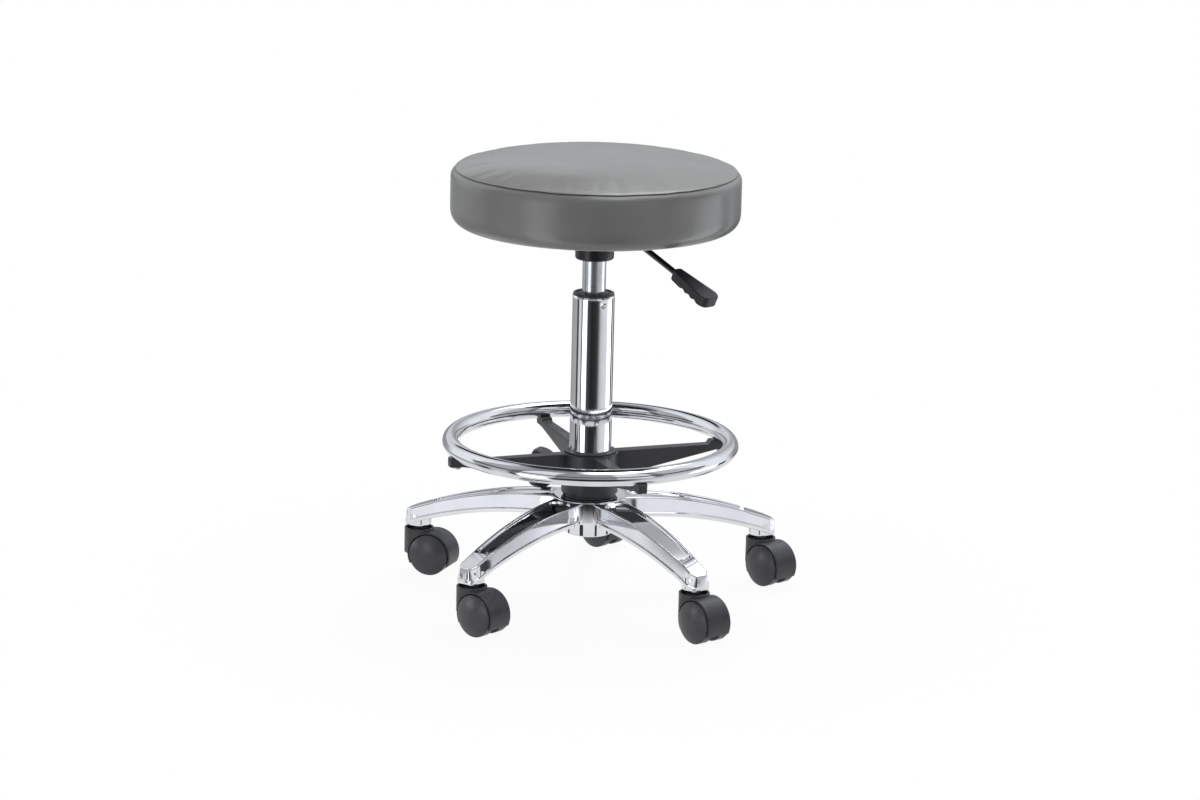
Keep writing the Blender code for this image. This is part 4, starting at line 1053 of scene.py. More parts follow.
def grip_section(t):
    """Section of the grip at t of its length: flat top, straight sides, finger hollows below."""
    outer, inner = turned_in(max((t - 0.80) / 0.20, 0.0)), turned_in(max((0.05 - t) / 0.05, 0.0))
    half = between(0.0062, 0.0150, t ** 0.9) - 0.0098 * outer - 0.0010 * inner
    thick = between(0.0140, 0.0134, t) - 0.0024 * outer ** 2 - 0.0016 * inner
    hollow = 0.0
    if HOLLOW_START < t < HOLLOW_END:
        fingers = 3 * (t - HOLLOW_START) / (HOLLOW_END - HOLLOW_START)
        hollow = HOLLOW_DEEP * math.sin(math.pi * fingers) ** 2
    high = thick * 0.42
    low = high - thick + hollow
    return section(GRIP_LONG * t, [(0.0, high + 0.0003), (half * 0.5, high + 0.0002), (half, high, 0.0022),
                                   (half - 0.0007, low, 0.0024), (0.0, low)], steps=5)


grip_places = [0.0, 0.003, 0.010, 0.022, 0.036, 0.05] + [k / 40 for k in range(3, 32)]
grip_places += [0.8 + 0.2 * math.sin(math.pi / 2 * k / 14) for k in range(15)]
grip = loft("grip", [grip_section(t) for t in grip_places], sharp=40.0)
grip_x, grip_z = down_slope(LEVER_ARM)
grip.transform(about_z(LEVER_AZIMUTH) @ Matrix.Translation((grip_x, 0, grip_z))
               @ Matrix.Rotation(LEVER_SLOPE, 4, "Y"))
hand_over("lever_grip_moulded", grip, GRIP_BLACK, "lever", "black_plastic", "lever_grip")

# %% [markdown]
# ## Column and guide bush
#
# The column is chromed tube, and three small dimples near its top hold the plastic bush that guides the gas
# cylinder. A Boolean would leave a hard edge there. The tube is turned with enough steps instead that the
# dimples can be pressed straight into its points.

# %% Column
COLUMN_BORE, COLUMN_FOOT = COLUMN_R - 0.0018, COLUMN_R - 0.0008
ROD_HOLE, FLOOR_T = 0.0058, 0.003
DIMPLES, FIRST_DIMPLE = 3, -60.5
DIMPLE_Z, DIMPLE_R, DIMPLE_DEEP = COLUMN_TOP - 0.0084, 0.0044, 0.0013


def column_line():
    top, foot, low = COLUMN_TOP, COLUMN_FOOT, COLUMN_BOTTOM
    line = [(COLUMN_BORE, top - 0.0005), (COLUMN_BORE + 0.0004, top), (COLUMN_R - 0.0004, top),
            (COLUMN_R, top - 0.0005)]
    line += [(COLUMN_R, top - 0.0030 - 0.0004 * k) for k in range(28)]
    line += [(COLUMN_R, between(top - 0.0145, HUB_TOP, t)) for t in (0.02, 0.3, 0.6, 0.9, 1.0)]
    line += [(foot, low + 0.002), (foot - 0.0015, low), (ROD_HOLE, low), (ROD_HOLE, low + FLOOR_T)]
    return line + [(foot - 0.0018, low + FLOOR_T), (COLUMN_BORE, HUB_TOP)]


def press_dimples(mesh):
    """Moves the points round each dimple inwards, most in its middle."""
    for vertex in mesh.vertices:
        x, y, z = vertex.co
        r = math.hypot(x, y)
        if r < COLUMN_R - 0.0002 or not COLUMN_TOP - 0.0142 <= z <= COLUMN_TOP - 0.0028:
            continue
        for k in range(DIMPLES):
            centre = math.radians(FIRST_DIMPLE + 360 / DIMPLES * k)
            turn = math.remainder(math.atan2(y, x) - centre, 2 * math.pi)
            away = math.hypot(turn * COLUMN_R, z - DIMPLE_Z) / DIMPLE_R
            if away < 1:
                press = 1 - DIMPLE_DEEP * (1 - away * away) ** 2 / r
                vertex.co = (x * press, y * press, z)
    return mesh


column = press_dimples(lathe("column", column_line(), steps=240, sharp=40.0))
hand_over("column_chromed", column, MIRROR_CHROME, "base", "column_chrome", "column_tube")

# %% [markdown]
# The bush is a moulded ring with a sleeve inside the column and a flange on its end. A shallow groove in the
# flange keeps its wall thin, as moulders like it. All of it is one turned profile.

# %% Guide bush
BUSH_R, BUSH_BOTTOM, BUSH_TOP = reach("guide_bush")
bush_bore, bush_sleeve, bush_groove = CYLINDER_R + 0.0004, COLUMN_R - 0.0021, BUSH_TOP - 0.0012
bush_line = [(bush_bore, BUSH_TOP, 0.0006), (bush_bore + 0.0036, BUSH_TOP, 0.0004),
             (bush_bore + 0.0036, bush_groove, 0.0004), (BUSH_R - 0.0034, bush_groove, 0.0004),
             (BUSH_R - 0.0034, BUSH_TOP, 0.0004), (BUSH_R, BUSH_TOP, 0.0011),
             (BUSH_R, COLUMN_TOP + GAP, 0.0002), (bush_sleeve, COLUMN_TOP + GAP),
             (bush_sleeve, BUSH_BOTTOM), (bush_bore, BUSH_BOTTOM)]
bush = lathe("bush", rounded(bush_line, closed=True))
hand_over("guide_bush_moulded", bush, SATIN_BLACK, "base", "black_plastic", "guide_bush")

# %% [markdown]
# ## Base
#
# The base is one polished casting with five legs. Seen from the side a leg falls in a curve from the hub to
# its tip, and seen from above it narrows. Its pocket starts in an ellipse and ends in a round spoon. These
# outlines are formulas of the distance from the column, so that a section can be drawn anywhere.

# %% Outlines of a leg
LEGS, FIRST_LEG = 5, 162.0
STEM_CIRCLE = 0.2186
LEG_TIP = STEM_CIRCLE + 0.0148
LEG_ROOT, LEG_FALL = 0.0281, 0.0364
TAPER_START = 0.052
TIP_CUT, TIP_SLANT = 0.0085, 0.62
POCKET_IN, POCKET_OUT, POCKET_NOSE = 0.047, 0.1926, 0.014


def leg_crest(r):
    """Height of the leg's top."""
    t = max(r - LEG_ROOT, 0.0) / (STEM_CIRCLE - LEG_ROOT)
    return HUB_TOP - 0.0008 - LEG_FALL * t * t


def leg_share(r):
    """Share of the tapered part that lies behind."""
    return (r - TAPER_START) / (STEM_CIRCLE - TAPER_START)


def leg_half(r):
    """Half width of the leg's top, with a flare at the hub and cut corners at the tip."""
    flare = 0.0004 * max((0.062 - r) / 0.022, 0.0) ** 2
    cut_corner = max(r - (LEG_TIP - TIP_CUT), 0.0) * TIP_SLANT
    return between(0.0205, 0.0122, leg_share(r)) + flare - cut_corner


def spoon(r, half, start, end):
    """Half width of a pocket with an elliptic start and a round end."""
    if r <= start or r >= end + half:
        return 0.0
    width = half
    if r < start + POCKET_NOSE:
        width *= math.sqrt(1 - ((start + POCKET_NOSE - r) / POCKET_NOSE) ** 2)
    if r > end:
        width *= math.sqrt(max(1 - ((r - end) / half) ** 2, 0.0))
    return width


print("leg: %.1f mm long, falls %.1f mm" % (LEG_TIP * 1000, (leg_crest(0) - leg_crest(LEG_TIP)) * 1000))

# %% [markdown]
# A leg's section is a channel: a top with a long shallow pocket between thin rims, drafted sides, a lip
# along the lower edge, and a hollow below. The same eleven corners are drawn at every place, and fall
# together where there is no pocket, so the loft can join them all.

# %% Section of a leg
LEG_WALL, POCKET_DEEP, POCKET_SLOPE = 0.0034, 0.0026, 0.0016
HOLLOW_IN, HOLLOW_OUT = 0.0449, STEM_CIRCLE - 0.023


def leg_section(r, inset=0.0):
    share = leg_share(r)
    depth, rim = between(0.024, 0.019, share), between(0.0040, 0.0034, share)
    top, low, half = leg_crest(r) - inset, leg_crest(r) - depth + inset, leg_half(r) - inset
    pocket = spoon(r, half - rim, POCKET_IN, POCKET_OUT)
    bed = spoon(r, half - rim - POCKET_SLOPE, POCKET_IN + POCKET_SLOPE, POCKET_OUT)
    bed = min(bed, max(pocket - 0.0003, 0.0))
    sunk = top - POCKET_DEEP * min(pocket / 0.0025, 1.0)
    lip = between(0.0, 0.0016, (r - 0.046) / 0.012)
    foot = half + lip * (1 if inset == 0 else 0.6)
    hollow = 0.0
    if HOLLOW_IN < r < HOLLOW_OUT:
        ends = min((r - HOLLOW_IN) / 0.004, (HOLLOW_OUT - r) / 0.006, 1.0)
        hollow = (depth - POCKET_DEEP - LEG_WALL) * math.sqrt(1 - (1 - ends) ** 2)
    roof = half - LEG_WALL
    line = [(0.0, sunk), (bed * 0.6, sunk), (bed, sunk, 0.0010), (pocket, top, 0.0016),
            (half, top, 0.0022), (foot, low + 0.0052, 0.0010), (foot + lip, low + 0.0044, 0.0006),
            (foot + lip, low, 0.0007), (roof + 0.0016, low, 0.0006), (roof, low + hollow, 0.0014),
            (0.0, low + hollow)]
    return section(r, line, steps=3, support=0.00025)


def leg_mesh():
    """Sections along the leg, closest where the pocket starts and ends, and at the rounded tip."""
    spoon_end = leg_half(POCKET_OUT) - 0.0031
    places = [0.0250 + 0.0022 * k for k in range(10)]
    places += list(np.linspace(POCKET_IN, POCKET_IN + 0.018, 15)) + list(np.linspace(0.069, POCKET_OUT, 34))
    places += [POCKET_OUT + spoon_end * math.sin(math.pi / 2 * k / 10) for k in range(1, 11)]
    places += [0.2035, 0.2070, 0.2120, 0.2170, 0.2210]
    places += [LEG_TIP - back for back in (0.0095, 0.0089, TIP_CUT, 0.0081, 0.0075, 0.0040, 0.0016)]
    sections = [leg_section(r) for r in sorted(set(round(p, 6) for p in places))]
    for back, inset in ((0.0011, 0.00004), (0.0006, 0.00022), (0.00025, 0.0005), (0.0, 0.0011)):
        sections.append(leg_section(LEG_TIP - back, inset))
    return loft("leg", sections, sharp=38.0)


one_leg = leg_mesh()
print("leg:", len(one_leg.polygons), "faces")

# %% [markdown]
# Under the tip of each leg a round boss takes the castor's stem. One leg with its boss is repeated five
# times by the ring tree, round a turned hub with a sleeve that grips the column.

# %% Boss, hub and the five legs
HUB_R, SLEEVE_R = 0.0442, 0.0276
SLEEVE_BOTTOM = HUB_TOP - 0.0464


def boss_mesh():
    """Round socket under the tip of a leg, which the castor's stem goes up into."""
    high, low = leg_crest(LEG_TIP) - 0.004, BASE_BOTTOM
    line = [(0, high), (0.0146, high), (0.0150, low, 0.0019), (0.0100, low, 0.0004),
            (0.0096, low + 0.0006, 0.0003), (0, low + 0.0006)]
    mesh = lathe("boss", rounded(line, 5), steps=64)
    mesh.transform(Matrix.Translation((STEM_CIRCLE, 0, 0)))
    return mesh


hub_line = [(COLUMN_R + GAP, HUB_TOP, 0.0004), (HUB_R, HUB_TOP, 0.0012), (HUB_R, HUB_TOP - 0.026, 0.0016),
            (SLEEVE_R, HUB_TOP - 0.030, 0.0022), (SLEEVE_R, SLEEVE_BOTTOM, 0.0011),
            (COLUMN_R - 0.0005, SLEEVE_BOTTOM, 0.0006)]
hub = lathe("hub", rounded(hub_line, 5, closed=True), steps=144)
legs = ring_of(joined_meshes("leg_and_boss", [one_leg, boss_mesh()]), LEGS, POLISHED_BASE, first=FIRST_LEG)
base = joined_meshes("base", [legs, hub])
hand_over("base_polished", base, POLISHED_BASE, "base", "polished_alloy", "base_star")

# %% [markdown]
# ## Castors
#
# Each castor has a bright stem with a collar, which goes up into the leg. The stem is a turned pin, and the
# ring tree sets one under each leg.

# %% Castor stems
PIN_R, COLLAR_R, LOWER_PIN_R = 0.0055, 0.0087, 0.0034


def stem_mesh():
    collar = BASE_BOTTOM - GAP
    under, low, high = collar - 0.0035, collar - 0.0200, collar + 0.0183
    line = [(0, high), (PIN_R - 0.001, high), (PIN_R, collar + 0.0168), (PIN_R, collar, 0.0002),
            (COLLAR_R, collar, 0.0006), (COLLAR_R, under, 0.0006), (LOWER_PIN_R, under, 0.0003),
            (LOWER_PIN_R, low, 0.0004), (0, low)]
    return lathe("stem", rounded(line), steps=48)


stems = ring_of(stem_mesh(), LEGS, BRIGHT_STEM, radius=STEM_CIRCLE, first=FIRST_LEG)
hand_over("castor_stems", stems, BRIGHT_STEM, "base", "steel", *numbered("caster_stem", LEGS))

# %% [markdown]
# The hood has an open cup on top with ribs in it. It is a turned fender joined to the cup and cut by the
# two wheel wells, so its rim follows the wheels with a thin dark gap. The tools are turned by a degree or
# more against each other, because a Boolean is safest where no facets lie in one plane.

# %% Castor hood
CUP_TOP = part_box("caster_hood_1")[1].z
CUP_R, CUP_BORE, CUP_FLOOR, CUP_LOW = 0.0180, 0.0154, CUP_TOP - 0.0125, CUP_TOP - 0.031
NECK_R, NECK_TOP = 0.0078, CUP_TOP - GAP
FENDER_R, FENDER_HALF = 0.02781, 0.0165
WELL_R, WEB_HALF, CHIN, RIBS = 0.02621, 0.0052, 0.0125, 8
TRAIL, AXLE_HEIGHT = 0.019, 0.025
ALONG_AXLE = Matrix.Translation((TRAIL, 0, AXLE_HEIGHT)) @ Matrix.Rotation(math.pi / 2, 4, "X")


def hood_mesh():
    fender = lathe("fender", rounded([(0, -FENDER_HALF), (FENDER_R, -FENDER_HALF, 0.0014),
                                      (FENDER_R, FENDER_HALF, 0.0014), (0, FENDER_HALF)]))
    fender.transform(ALONG_AXLE)
    cup_line = [(0, NECK_TOP), (NECK_R, NECK_TOP, 0.0005), (NECK_R, CUP_FLOOR, 0.0006),
                (CUP_BORE, CUP_FLOOR, 0.0010), (CUP_BORE, CUP_TOP, 0.0006), (CUP_R, CUP_TOP, 0.0008),
                (CUP_R, CUP_LOW, 0.0008), (0, CUP_LOW)]
    cup = lathe("cup", rounded(cup_line), steps=72)
    cup.transform(about_z(1.7))
    cuts = []
    for side, turn in ((-1, 0.5), (1, 1.7)):
        near, far = sorted((side * WEB_HALF, side * 0.05))
        cuts.append(cylinder_tool("well", WELL_R, near, far, 96, ALONG_AXLE @ about_z(turn)))
    square = ((-0.1, -0.1), (0.1, -0.1), (0.1, 0.1), (-0.1, 0.1))
    cuts.append(loft("chin", [[(x, y, z) for x, y in square] for z in (-0.1, CHIN)]))
    cuts.append(cylinder_tool("bore", 0.0038, CUP_TOP - 0.0203, CUP_TOP + 0.02, 32, about_z(4.0)))
    return shaped("hood", fender, [cup], cuts, bevel=0.0005, angle=40.0, sharp=40.0)


def rib_mesh():
    """A thin wall in the cup, from the neck to the rim."""
    low, high = CUP_TOP - 0.0130, CUP_TOP - 0.0030
    return loft("rib", [[(x, -0.0006, low), (x, 0.0006, low), (x, 0.0004, high), (x, -0.0004, high)]
                        for x in (0.0072, 0.0160)], sharp=30.0)


ribs = ring_of(rib_mesh(), RIBS, CASTOR_GREY, first=12.0)
hood = joined_meshes("hood_and_ribs", [hood_mesh(), ribs])
print("hood:", len(hood.polygons), "faces")

# %% [markdown]
# A wheel has a gently domed outer face that rolls over into the tread, and is hollow inside round its
# bearing. It is turned from one profile: the dome is a power curve, and the rest are short straight lines.

# %% Castor wheel
WHEEL_R, WHEEL_DOME, DOME_EDGE, DOME_SHARE = 0.025, 0.0170, 0.0125, 0.935


def wheel_mesh():
    """Wheel on its axle, along Z. The inner face is at height 0."""
    line = [(0.0, WHEEL_DOME)]
    for k in range(1, 19):
        p = k / 18 * DOME_SHARE
        line.append((WHEEL_R * p, DOME_EDGE + (WHEEL_DOME - DOME_EDGE) * (1 - (p / DOME_SHARE) ** 2.1)))
    edge = [(0.02420, 0.01215), (0.02474, 0.01165), (0.02496, 0.0110), (WHEEL_R, 0.0103), (WHEEL_R, 0.0100)]
    tread = [(WHEEL_R, 0.0012), (WHEEL_R, 0.0008), (0.0247, 0.0002), (0.0242, 0.0), (0.0238, 0.0)]
    inside = [(0.0212, 0.0), (0.0208, 0.0004), (0.0206, 0.0052), (0.0202, 0.0056), (0.0074, 0.0056)]
    bearing = [(0.0070, 0.0052), (0.0068, 0.0004), (0.0064, 0.0), (0.0034, 0.0), (0.0034, 0.010),
               (0.0, 0.010)]
    return lathe("wheel", line + edge + tread + inside + bearing, steps=72, sharp=35.0)


wheel = wheel_mesh()
print("wheel:", len(wheel.polygons), "faces")

# %% [markdown]
# The five castors are copies of one hood and one wheel, because they roll and swivel on their own and so
# have to be pieces of their own. Each points the way it does in the picture.

# %% Five castors in place
HEADINGS = (-19.0, -40.0, -49.0, -46.0, -44.0)
WHEEL_FROM_MIDDLE = 0.0060
castor_wheels = []


def placed(mesh, place):
    """A copy of a mesh with its place in it."""
    own = mesh.copy()
    own.transform(place)
    return own


for n, heading in enumerate(HEADINGS, 1):
    stem_place = about_z(FIRST_LEG + 360.0 / LEGS * (n - 1)) @ Vector((STEM_CIRCLE, 0, 0))
    stand = Matrix.Translation(stem_place) @ about_z(heading)
    hand_over("castor_hood_%d" % n, placed(hood, stand), CASTOR_GREY, "caster_%d" % n, "castor_plastic",
              "caster_hood_%d" % n)
    for side, turn in (("left", -1), ("right", 1)):
        axle = stand @ Matrix.Translation((TRAIL, -turn * WHEEL_FROM_MIDDLE, AXLE_HEIGHT))
        own_wheel = placed(wheel, axle @ Matrix.Rotation(turn * math.pi / 2, 4, "X"))
        castor_wheels.append(hand_over("castor_wheel_%s_%d" % (side, n), own_wheel, WHEEL_GREY,
                                       "wheel_%s_%d" % (side, n), "castor_plastic",
                                       "caster_wheel_%s_%d" % (side, n)))

# %% [markdown]
# ## Foot ring
#
# The foot ring is chromed tube, bent to a circle and welded shut. It follows a path, so the tube tree makes
# it. The solid's tube has ten sides with a flat one outwards, which is why its radius is worked out first.

# %% Ring
RING_OUT, RING_LOW, RING_HIGH = reach("foot_ring")
RING_TUBE, RING_Z = (RING_HIGH - RING_LOW) / 2, (RING_HIGH + RING_LOW) / 2
SOLID_SIDES, RING_SIDES, RING_STEPS = 10, 36, 180
RING_R = RING_OUT - RING_TUBE * math.cos(math.pi / SOLID_SIDES)
RING_PATH = circle_at(RING_R, RING_Z, RING_STEPS)
foot_ring = tube_along(RING_PATH, RING_CHROME, RING_TUBE, RING_SIDES, closed=True)
hand_over("foot_ring_chromed", foot_ring, RING_CHROME, "ring", "ring_chrome", "foot_ring")

# %% [markdown]
# The ring's hub slides on a plastic liner, a thin flanged sleeve between it and the column. It is turned
# from one profile, like the bush.

# %% Hub liner
LINER_BORE, LINER_SLEEVE, LINER_LIP = 0.0254, 0.0286, 0.0308
lip_low, flange_top = LINER_TOP - 0.0016, LINER_BOTTOM + 0.0030
liner_line = [(LINER_LIP, LINER_TOP, 0.0005), (LINER_LIP, lip_low, 0.0003), (LINER_SLEEVE, lip_low),
              (LINER_SLEEVE, flange_top), (LINER_R, flange_top, 0.0005), (LINER_R, LINER_BOTTOM, 0.0005),
              (LINER_BORE, LINER_BOTTOM, 0.0004), (LINER_BORE, LINER_TOP, 0.0006)]
liner = lathe("liner", rounded(liner_line, closed=True))
hand_over("hub_liner_moulded", liner, SATIN_BLACK, "ring_liner", "black_plastic", "hub_liner")

# %% [markdown]
# The spider is a dark moulding with four arms: tall flat blades that get shallower outwards and rise to a
# saddle for the ring. A Boolean cuts the ring's groove into one arm, with a little more radius than the
# tube has, and the ring tree repeats the arm.

# %% Spider's arms
SPIDER_BOTTOM, SPIDER_TOP = LINER_BOTTOM + 0.0033, LINER_TOP - 0.0019
SPIDER_BORE, SPIDER_R = 0.0290, 0.0338
ARMS, FIRST_ARM = 4, 22.0
ARM_TOP, ARM_START, ARM_LOW = SPIDER_TOP - 0.0006, 0.029, 0.0075
ARM_TIP, SADDLE, SADDLE_RISE = RING_R + 0.0105, RING_R - 0.0165, 0.0044
SCREW_LAND, TIP_ROUND = RING_R - 0.0057, 0.003


def arm_section(r, rise=0.0, shrink=0.0):
    depth = between(0.032, ARM_LOW, (r - ARM_START) / (SCREW_LAND - ARM_START))
    half = between(0.0078, 0.0062, (r - ARM_START) / (RING_R - ARM_START)) - shrink
    top, low = ARM_TOP + rise - shrink, ARM_TOP - depth + shrink * 0.5
    return section(r, [(0.0, top), (half, top, 0.0012), (half - 0.0004, low, 0.0012), (0.0, low)], steps=4)


def arm_mesh():
    sections = [arm_section(r) for r in (0.0309, 0.045, 0.07, 0.1, 0.13, SADDLE - 0.002, SADDLE - 0.0006)]
    for k in range(9):
        t = k / 8
        sections.append(arm_section(SADDLE + SADDLE_RISE * t, SADDLE_RISE * t * t * (3 - 2 * t)))
    for r in (SCREW_LAND - 0.004, SCREW_LAND, RING_R, ARM_TIP - TIP_ROUND):
        sections.append(arm_section(r, SADDLE_RISE))
    for a in (0.4, 0.8, 1.2, 1.5):
        sections.append(arm_section(ARM_TIP - TIP_ROUND * (1 - math.sin(a)), SADDLE_RISE,
                                    shrink=0.0026 * (1 - math.cos(a))))
    groove = tube_along(RING_PATH, SATIN_BLACK, RING_TUBE + GAP, RING_SIDES, closed=True)
    return shaped("arm", loft("arm", sections, sharp=40.0), cut=[groove], angle=50.0)


arms = ring_of(arm_mesh(), ARMS, SATIN_BLACK, first=FIRST_ARM)
print("spider arms:", len(arms.polygons), "faces")

# %% [markdown]
# The arms meet in a turned hub round the liner. On one side it has a short boss, which the clamp's screw
# goes through. The forms only overlap, as nothing shows of what is inside, so they need no Boolean.

# %% Spider's hub and clamp boss
KNOB_TURN, KNOB_Z = 157.0, SPIDER_BOTTOM + 0.0207
BOSS_START, BOSS_END = 0.0309, 0.0443
spider_line = [(SPIDER_BORE, SPIDER_TOP, 0.0006), (SPIDER_R, SPIDER_TOP, 0.0015),
               (SPIDER_R, SPIDER_BOTTOM, 0.0015), (SPIDER_BORE, SPIDER_BOTTOM, 0.0006)]
spider_hub = lathe("spider_hub", rounded(spider_line, 5, closed=True))
clamp_boss = lathe("clamp_boss", rounded([(0, BOSS_START), (0.0112, BOSS_START), (0.0105, BOSS_END, 0.0010),
                                          (0, BOSS_END)]), steps=48)
clamp_boss.transform(radial_place(KNOB_TURN, KNOB_Z))
spider = joined_meshes("spider", [spider_hub, arms, clamp_boss])
hand_over("ring_spider_moulded", spider, SATIN_BLACK, "ring", "black_plastic", "ring_spider")

# %% [markdown]
# From below, a pan-head screw goes through each arm into the ring. The head has a round recess for the
# driver. One screw is turned, and the ring tree sets one under each arm.

# %% Ring screws
HEAD_R, SHANK_R, RECESS_R = 0.0042, 0.0020, 0.0016
screw_top, screw_end = ARM_TOP - ARM_LOW - GAP, RING_LOW + 0.005
screw_line = [(0, screw_top - 0.0018), (RECESS_R, screw_top - 0.0018), (0.0019, screw_top - 0.0030, 0.0003),
              (HEAD_R, screw_top - 0.0020, 0.0016), (HEAD_R, screw_top, 0.0003), (SHANK_R, screw_top),
              (SHANK_R, screw_end), (0, screw_end)]
screw = lathe("screw", rounded(screw_line), steps=32)
screws = ring_of(screw, ARMS, ZINC, radius=RING_R, first=FIRST_ARM)
hand_over("ring_screws", screws, ZINC, "ring", "steel", *numbered("ring_screw", ARMS))

# %% [markdown]
# A hand knob clamps the spider to the column. It swells outwards into seven lobes and ends in a shallow
# dished face. A cosine round the axis makes the lobes, and a table of stages says how wide and how lobed
# the knob is along its length.

# %% Clamp knob
LOBES, LOBE_DEEP, KNOB_AROUND = 7, 0.0016, 112
KNOB_NECK, KNOB_R, KNOB_START, KNOB_LONG = 0.015, 0.0252, 0.0446, 0.0265
KNOB_FACE_R, KNOB_FACE = 0.0234, 0.0711
KNOB_STAGES = ((0.0, 0.0, 0.0), (0.02, 0.02, 0.0), (0.10, 0.10, 0.05), (0.22, 0.35, 0.2), (0.36, 0.60, 0.5),
               (0.50, 0.79, 0.85), (0.62, 0.90, 1.0), (0.78, 0.98, 1.0), (0.90, 1.0, 1.0),
               (0.95, 0.985, 0.95), (0.985, 0.93, 0.8), (1.0, 0.84, 0.6))


def knob_mesh():
    """Stages are (share of the length, swell, how lobed); the knob lies along Z and is then placed."""
    rows = []
    for along, swell, lobed in KNOB_STAGES:
        row = []
        for k in range(KNOB_AROUND):
            a = 2 * math.pi * k / KNOB_AROUND
            r = between(KNOB_NECK, KNOB_R, swell) - LOBE_DEEP * lobed * (1 - math.cos(LOBES * a)) / 2
            row.append((r * math.cos(a), r * math.sin(a), KNOB_START + KNOB_LONG * along))
        rows.append(row)
    for share, sink in ((0.72, 0.0), (0.60, 0.0004), (0.56, 0.0010), (0.2, 0.0011)):
        rows.append(circle_at(KNOB_FACE_R * share, KNOB_FACE - sink, KNOB_AROUND))
    mesh = loft("knob", rows, sharp=35.0)
    mesh.transform(radial_place(KNOB_TURN, KNOB_Z))
    return mesh


hand_over("clamp_knob_moulded", knob_mesh(), SATIN_BLACK, "knob", "black_plastic", "clamp_knob")

# %% [markdown]
# ## Pieces that stay as they are in the solid model
#
# The rod, seals and stops inside the column, the axles and the board hardly show. They keep their solids and
# only get their finish.

# %% Finishes for the inner pieces
INNER = {"piston_rod": BRIGHT_STEM, "piston_head": ZINC, "rod_seal": RUBBER, "bump_stop": RUBBER,
         "thrust_bearing": ZINC, "retaining_clip": ZINC, "release_button": ZINC, "seat_board": PLYWOOD,
         "clamp_screw": ZINC}
INNER.update(dict.fromkeys(numbered("caster_axle", LEGS), BRIGHT_STEM))
for name, material in INNER.items():
    nodes[name].data.materials.clear()
    nodes[name].data.materials.append(material)
print("finished inner pieces:", len(INNER))

# %% [markdown]
# ## Floor
#
# The picture is a cut-out on white. The floor is plain and pale, and fades to white away from a soft contact
# shadow. To other rays it is a dim even glow, so that the undersides aren't lit too strongly, and from below
# it is clear. A mirror doesn't see it at all, because the light tent that follows has its own ground.

# %% Floor
FLOOR_GLOW = 0.30
SHADOW_NEAR, SHADOW_FAR, SHADOW_LEAST = 0.18, 0.62, 0.95


def blank_tree(owner):
    """The emptied node tree of a material or a world."""
    owner.use_nodes = True
    owner.node_tree.nodes.clear()
    return owner.node_tree


def mixed_shader(tree, share, one, other):
    return node(tree, "ShaderNodeMixShader", {"Fac": share, 1: one, 2: other}).outputs[0]


def from_middle(tree):
    """Distance from the piece's own middle."""
    return node(tree, "ShaderNodeVectorMath", {0: own_place(tree)}, operation="LENGTH").outputs["Value"]


def flat_square(name, half, height, material):
    """A square on the ground, as part of the stage."""
    mesh = bpy.data.meshes.new(name)
    mesh.from_pydata([(-half, -half, height), (half, -half, height), (half, half, height),
                      (-half, half, height)], [], [(0, 1, 2, 3)])
    mesh.materials.append(material)
    square = in_scene(name, mesh)
    return square


def floor_material():
    """White to the camera but for a soft contact shadow, dimmer to other rays, and clear from below."""
    material = bpy.data.materials.new("pale_floor")
    tree = blank_tree(material)
    white = node(tree, "ShaderNodeEmission").outputs[0]
    matt = node(tree, "ShaderNodeBsdfDiffuse", {"Color": (0.80, 0.80, 0.80, 1.0)}).outputs[0]
    dim = node(tree, "ShaderNodeEmission", {"Strength": FLOOR_GLOW}).outputs[0]
    clear = node(tree, "ShaderNodeBsdfTransparent").outputs[0]
    fade = spread(tree, from_middle(tree), SHADOW_LEAST, 1.0, SHADOW_NEAR, SHADOW_FAR,
                  interpolation_type="SMOOTHSTEP")
    seen = node(tree, "ShaderNodeLightPath").outputs["Is Camera Ray"]
    below = node(tree, "ShaderNodeNewGeometry").outputs["Backfacing"]
    shown = mixed_shader(tree, seen, dim, mixed_shader(tree, fade, matt, white))
    node(tree, "ShaderNodeOutputMaterial", {"Surface": mixed_shader(tree, below, shown, clear)})
    return material


floor = flat_square("floor", 9.0, 0.0, floor_material())
floor.visible_glossy = False
print("floor: plain, %.0f m across" % floor.dimensions.x)

# %% [markdown]
# Close to the base, polished legs and the ring also mirror the pale paper that the stool stands on. A second
# square gives them that. Only mirrors see it, and its edge fades out before the tent's ground takes over.

# %% Paper near the base
PAPER_GLOW, PAPER_FULL, PAPER_GONE = 0.85, 0.52, 0.62


def paper_material():
    material = bpy.data.materials.new("near_paper")
    tree = blank_tree(material)
    glow = node(tree, "ShaderNodeEmission", {"Strength": PAPER_GLOW}).outputs[0]
    clear = node(tree, "ShaderNodeBsdfTransparent").outputs[0]
    fade = spread(tree, from_middle(tree), 0.0, 1.0, PAPER_FULL, PAPER_GONE)
    node(tree, "ShaderNodeOutputMaterial", {"Surface": mixed_shader(tree, fade, glow, clear)})
    return material


paper = flat_square("near_paper", 0.65, -0.0005, paper_material())
paper.location = (0.0, 0.16, 0.0)
paper.visible_camera = paper.visible_diffuse = paper.visible_shadow = False
print("paper near the base: seen by mirrors only")

# %% [markdown]
# ## Light
#
# Chrome has no colour of its own, so what it mirrors matters. A light tent of white panels with dark gaps
# between them stands round the stool, and only mirrored rays see it: matt surfaces get an even light, and
# the camera sees white. Real panels could be modelled, but a world is seen from everywhere alike. Two curves
# say how bright the tent is by azimuth, one below the horizon and one above it.

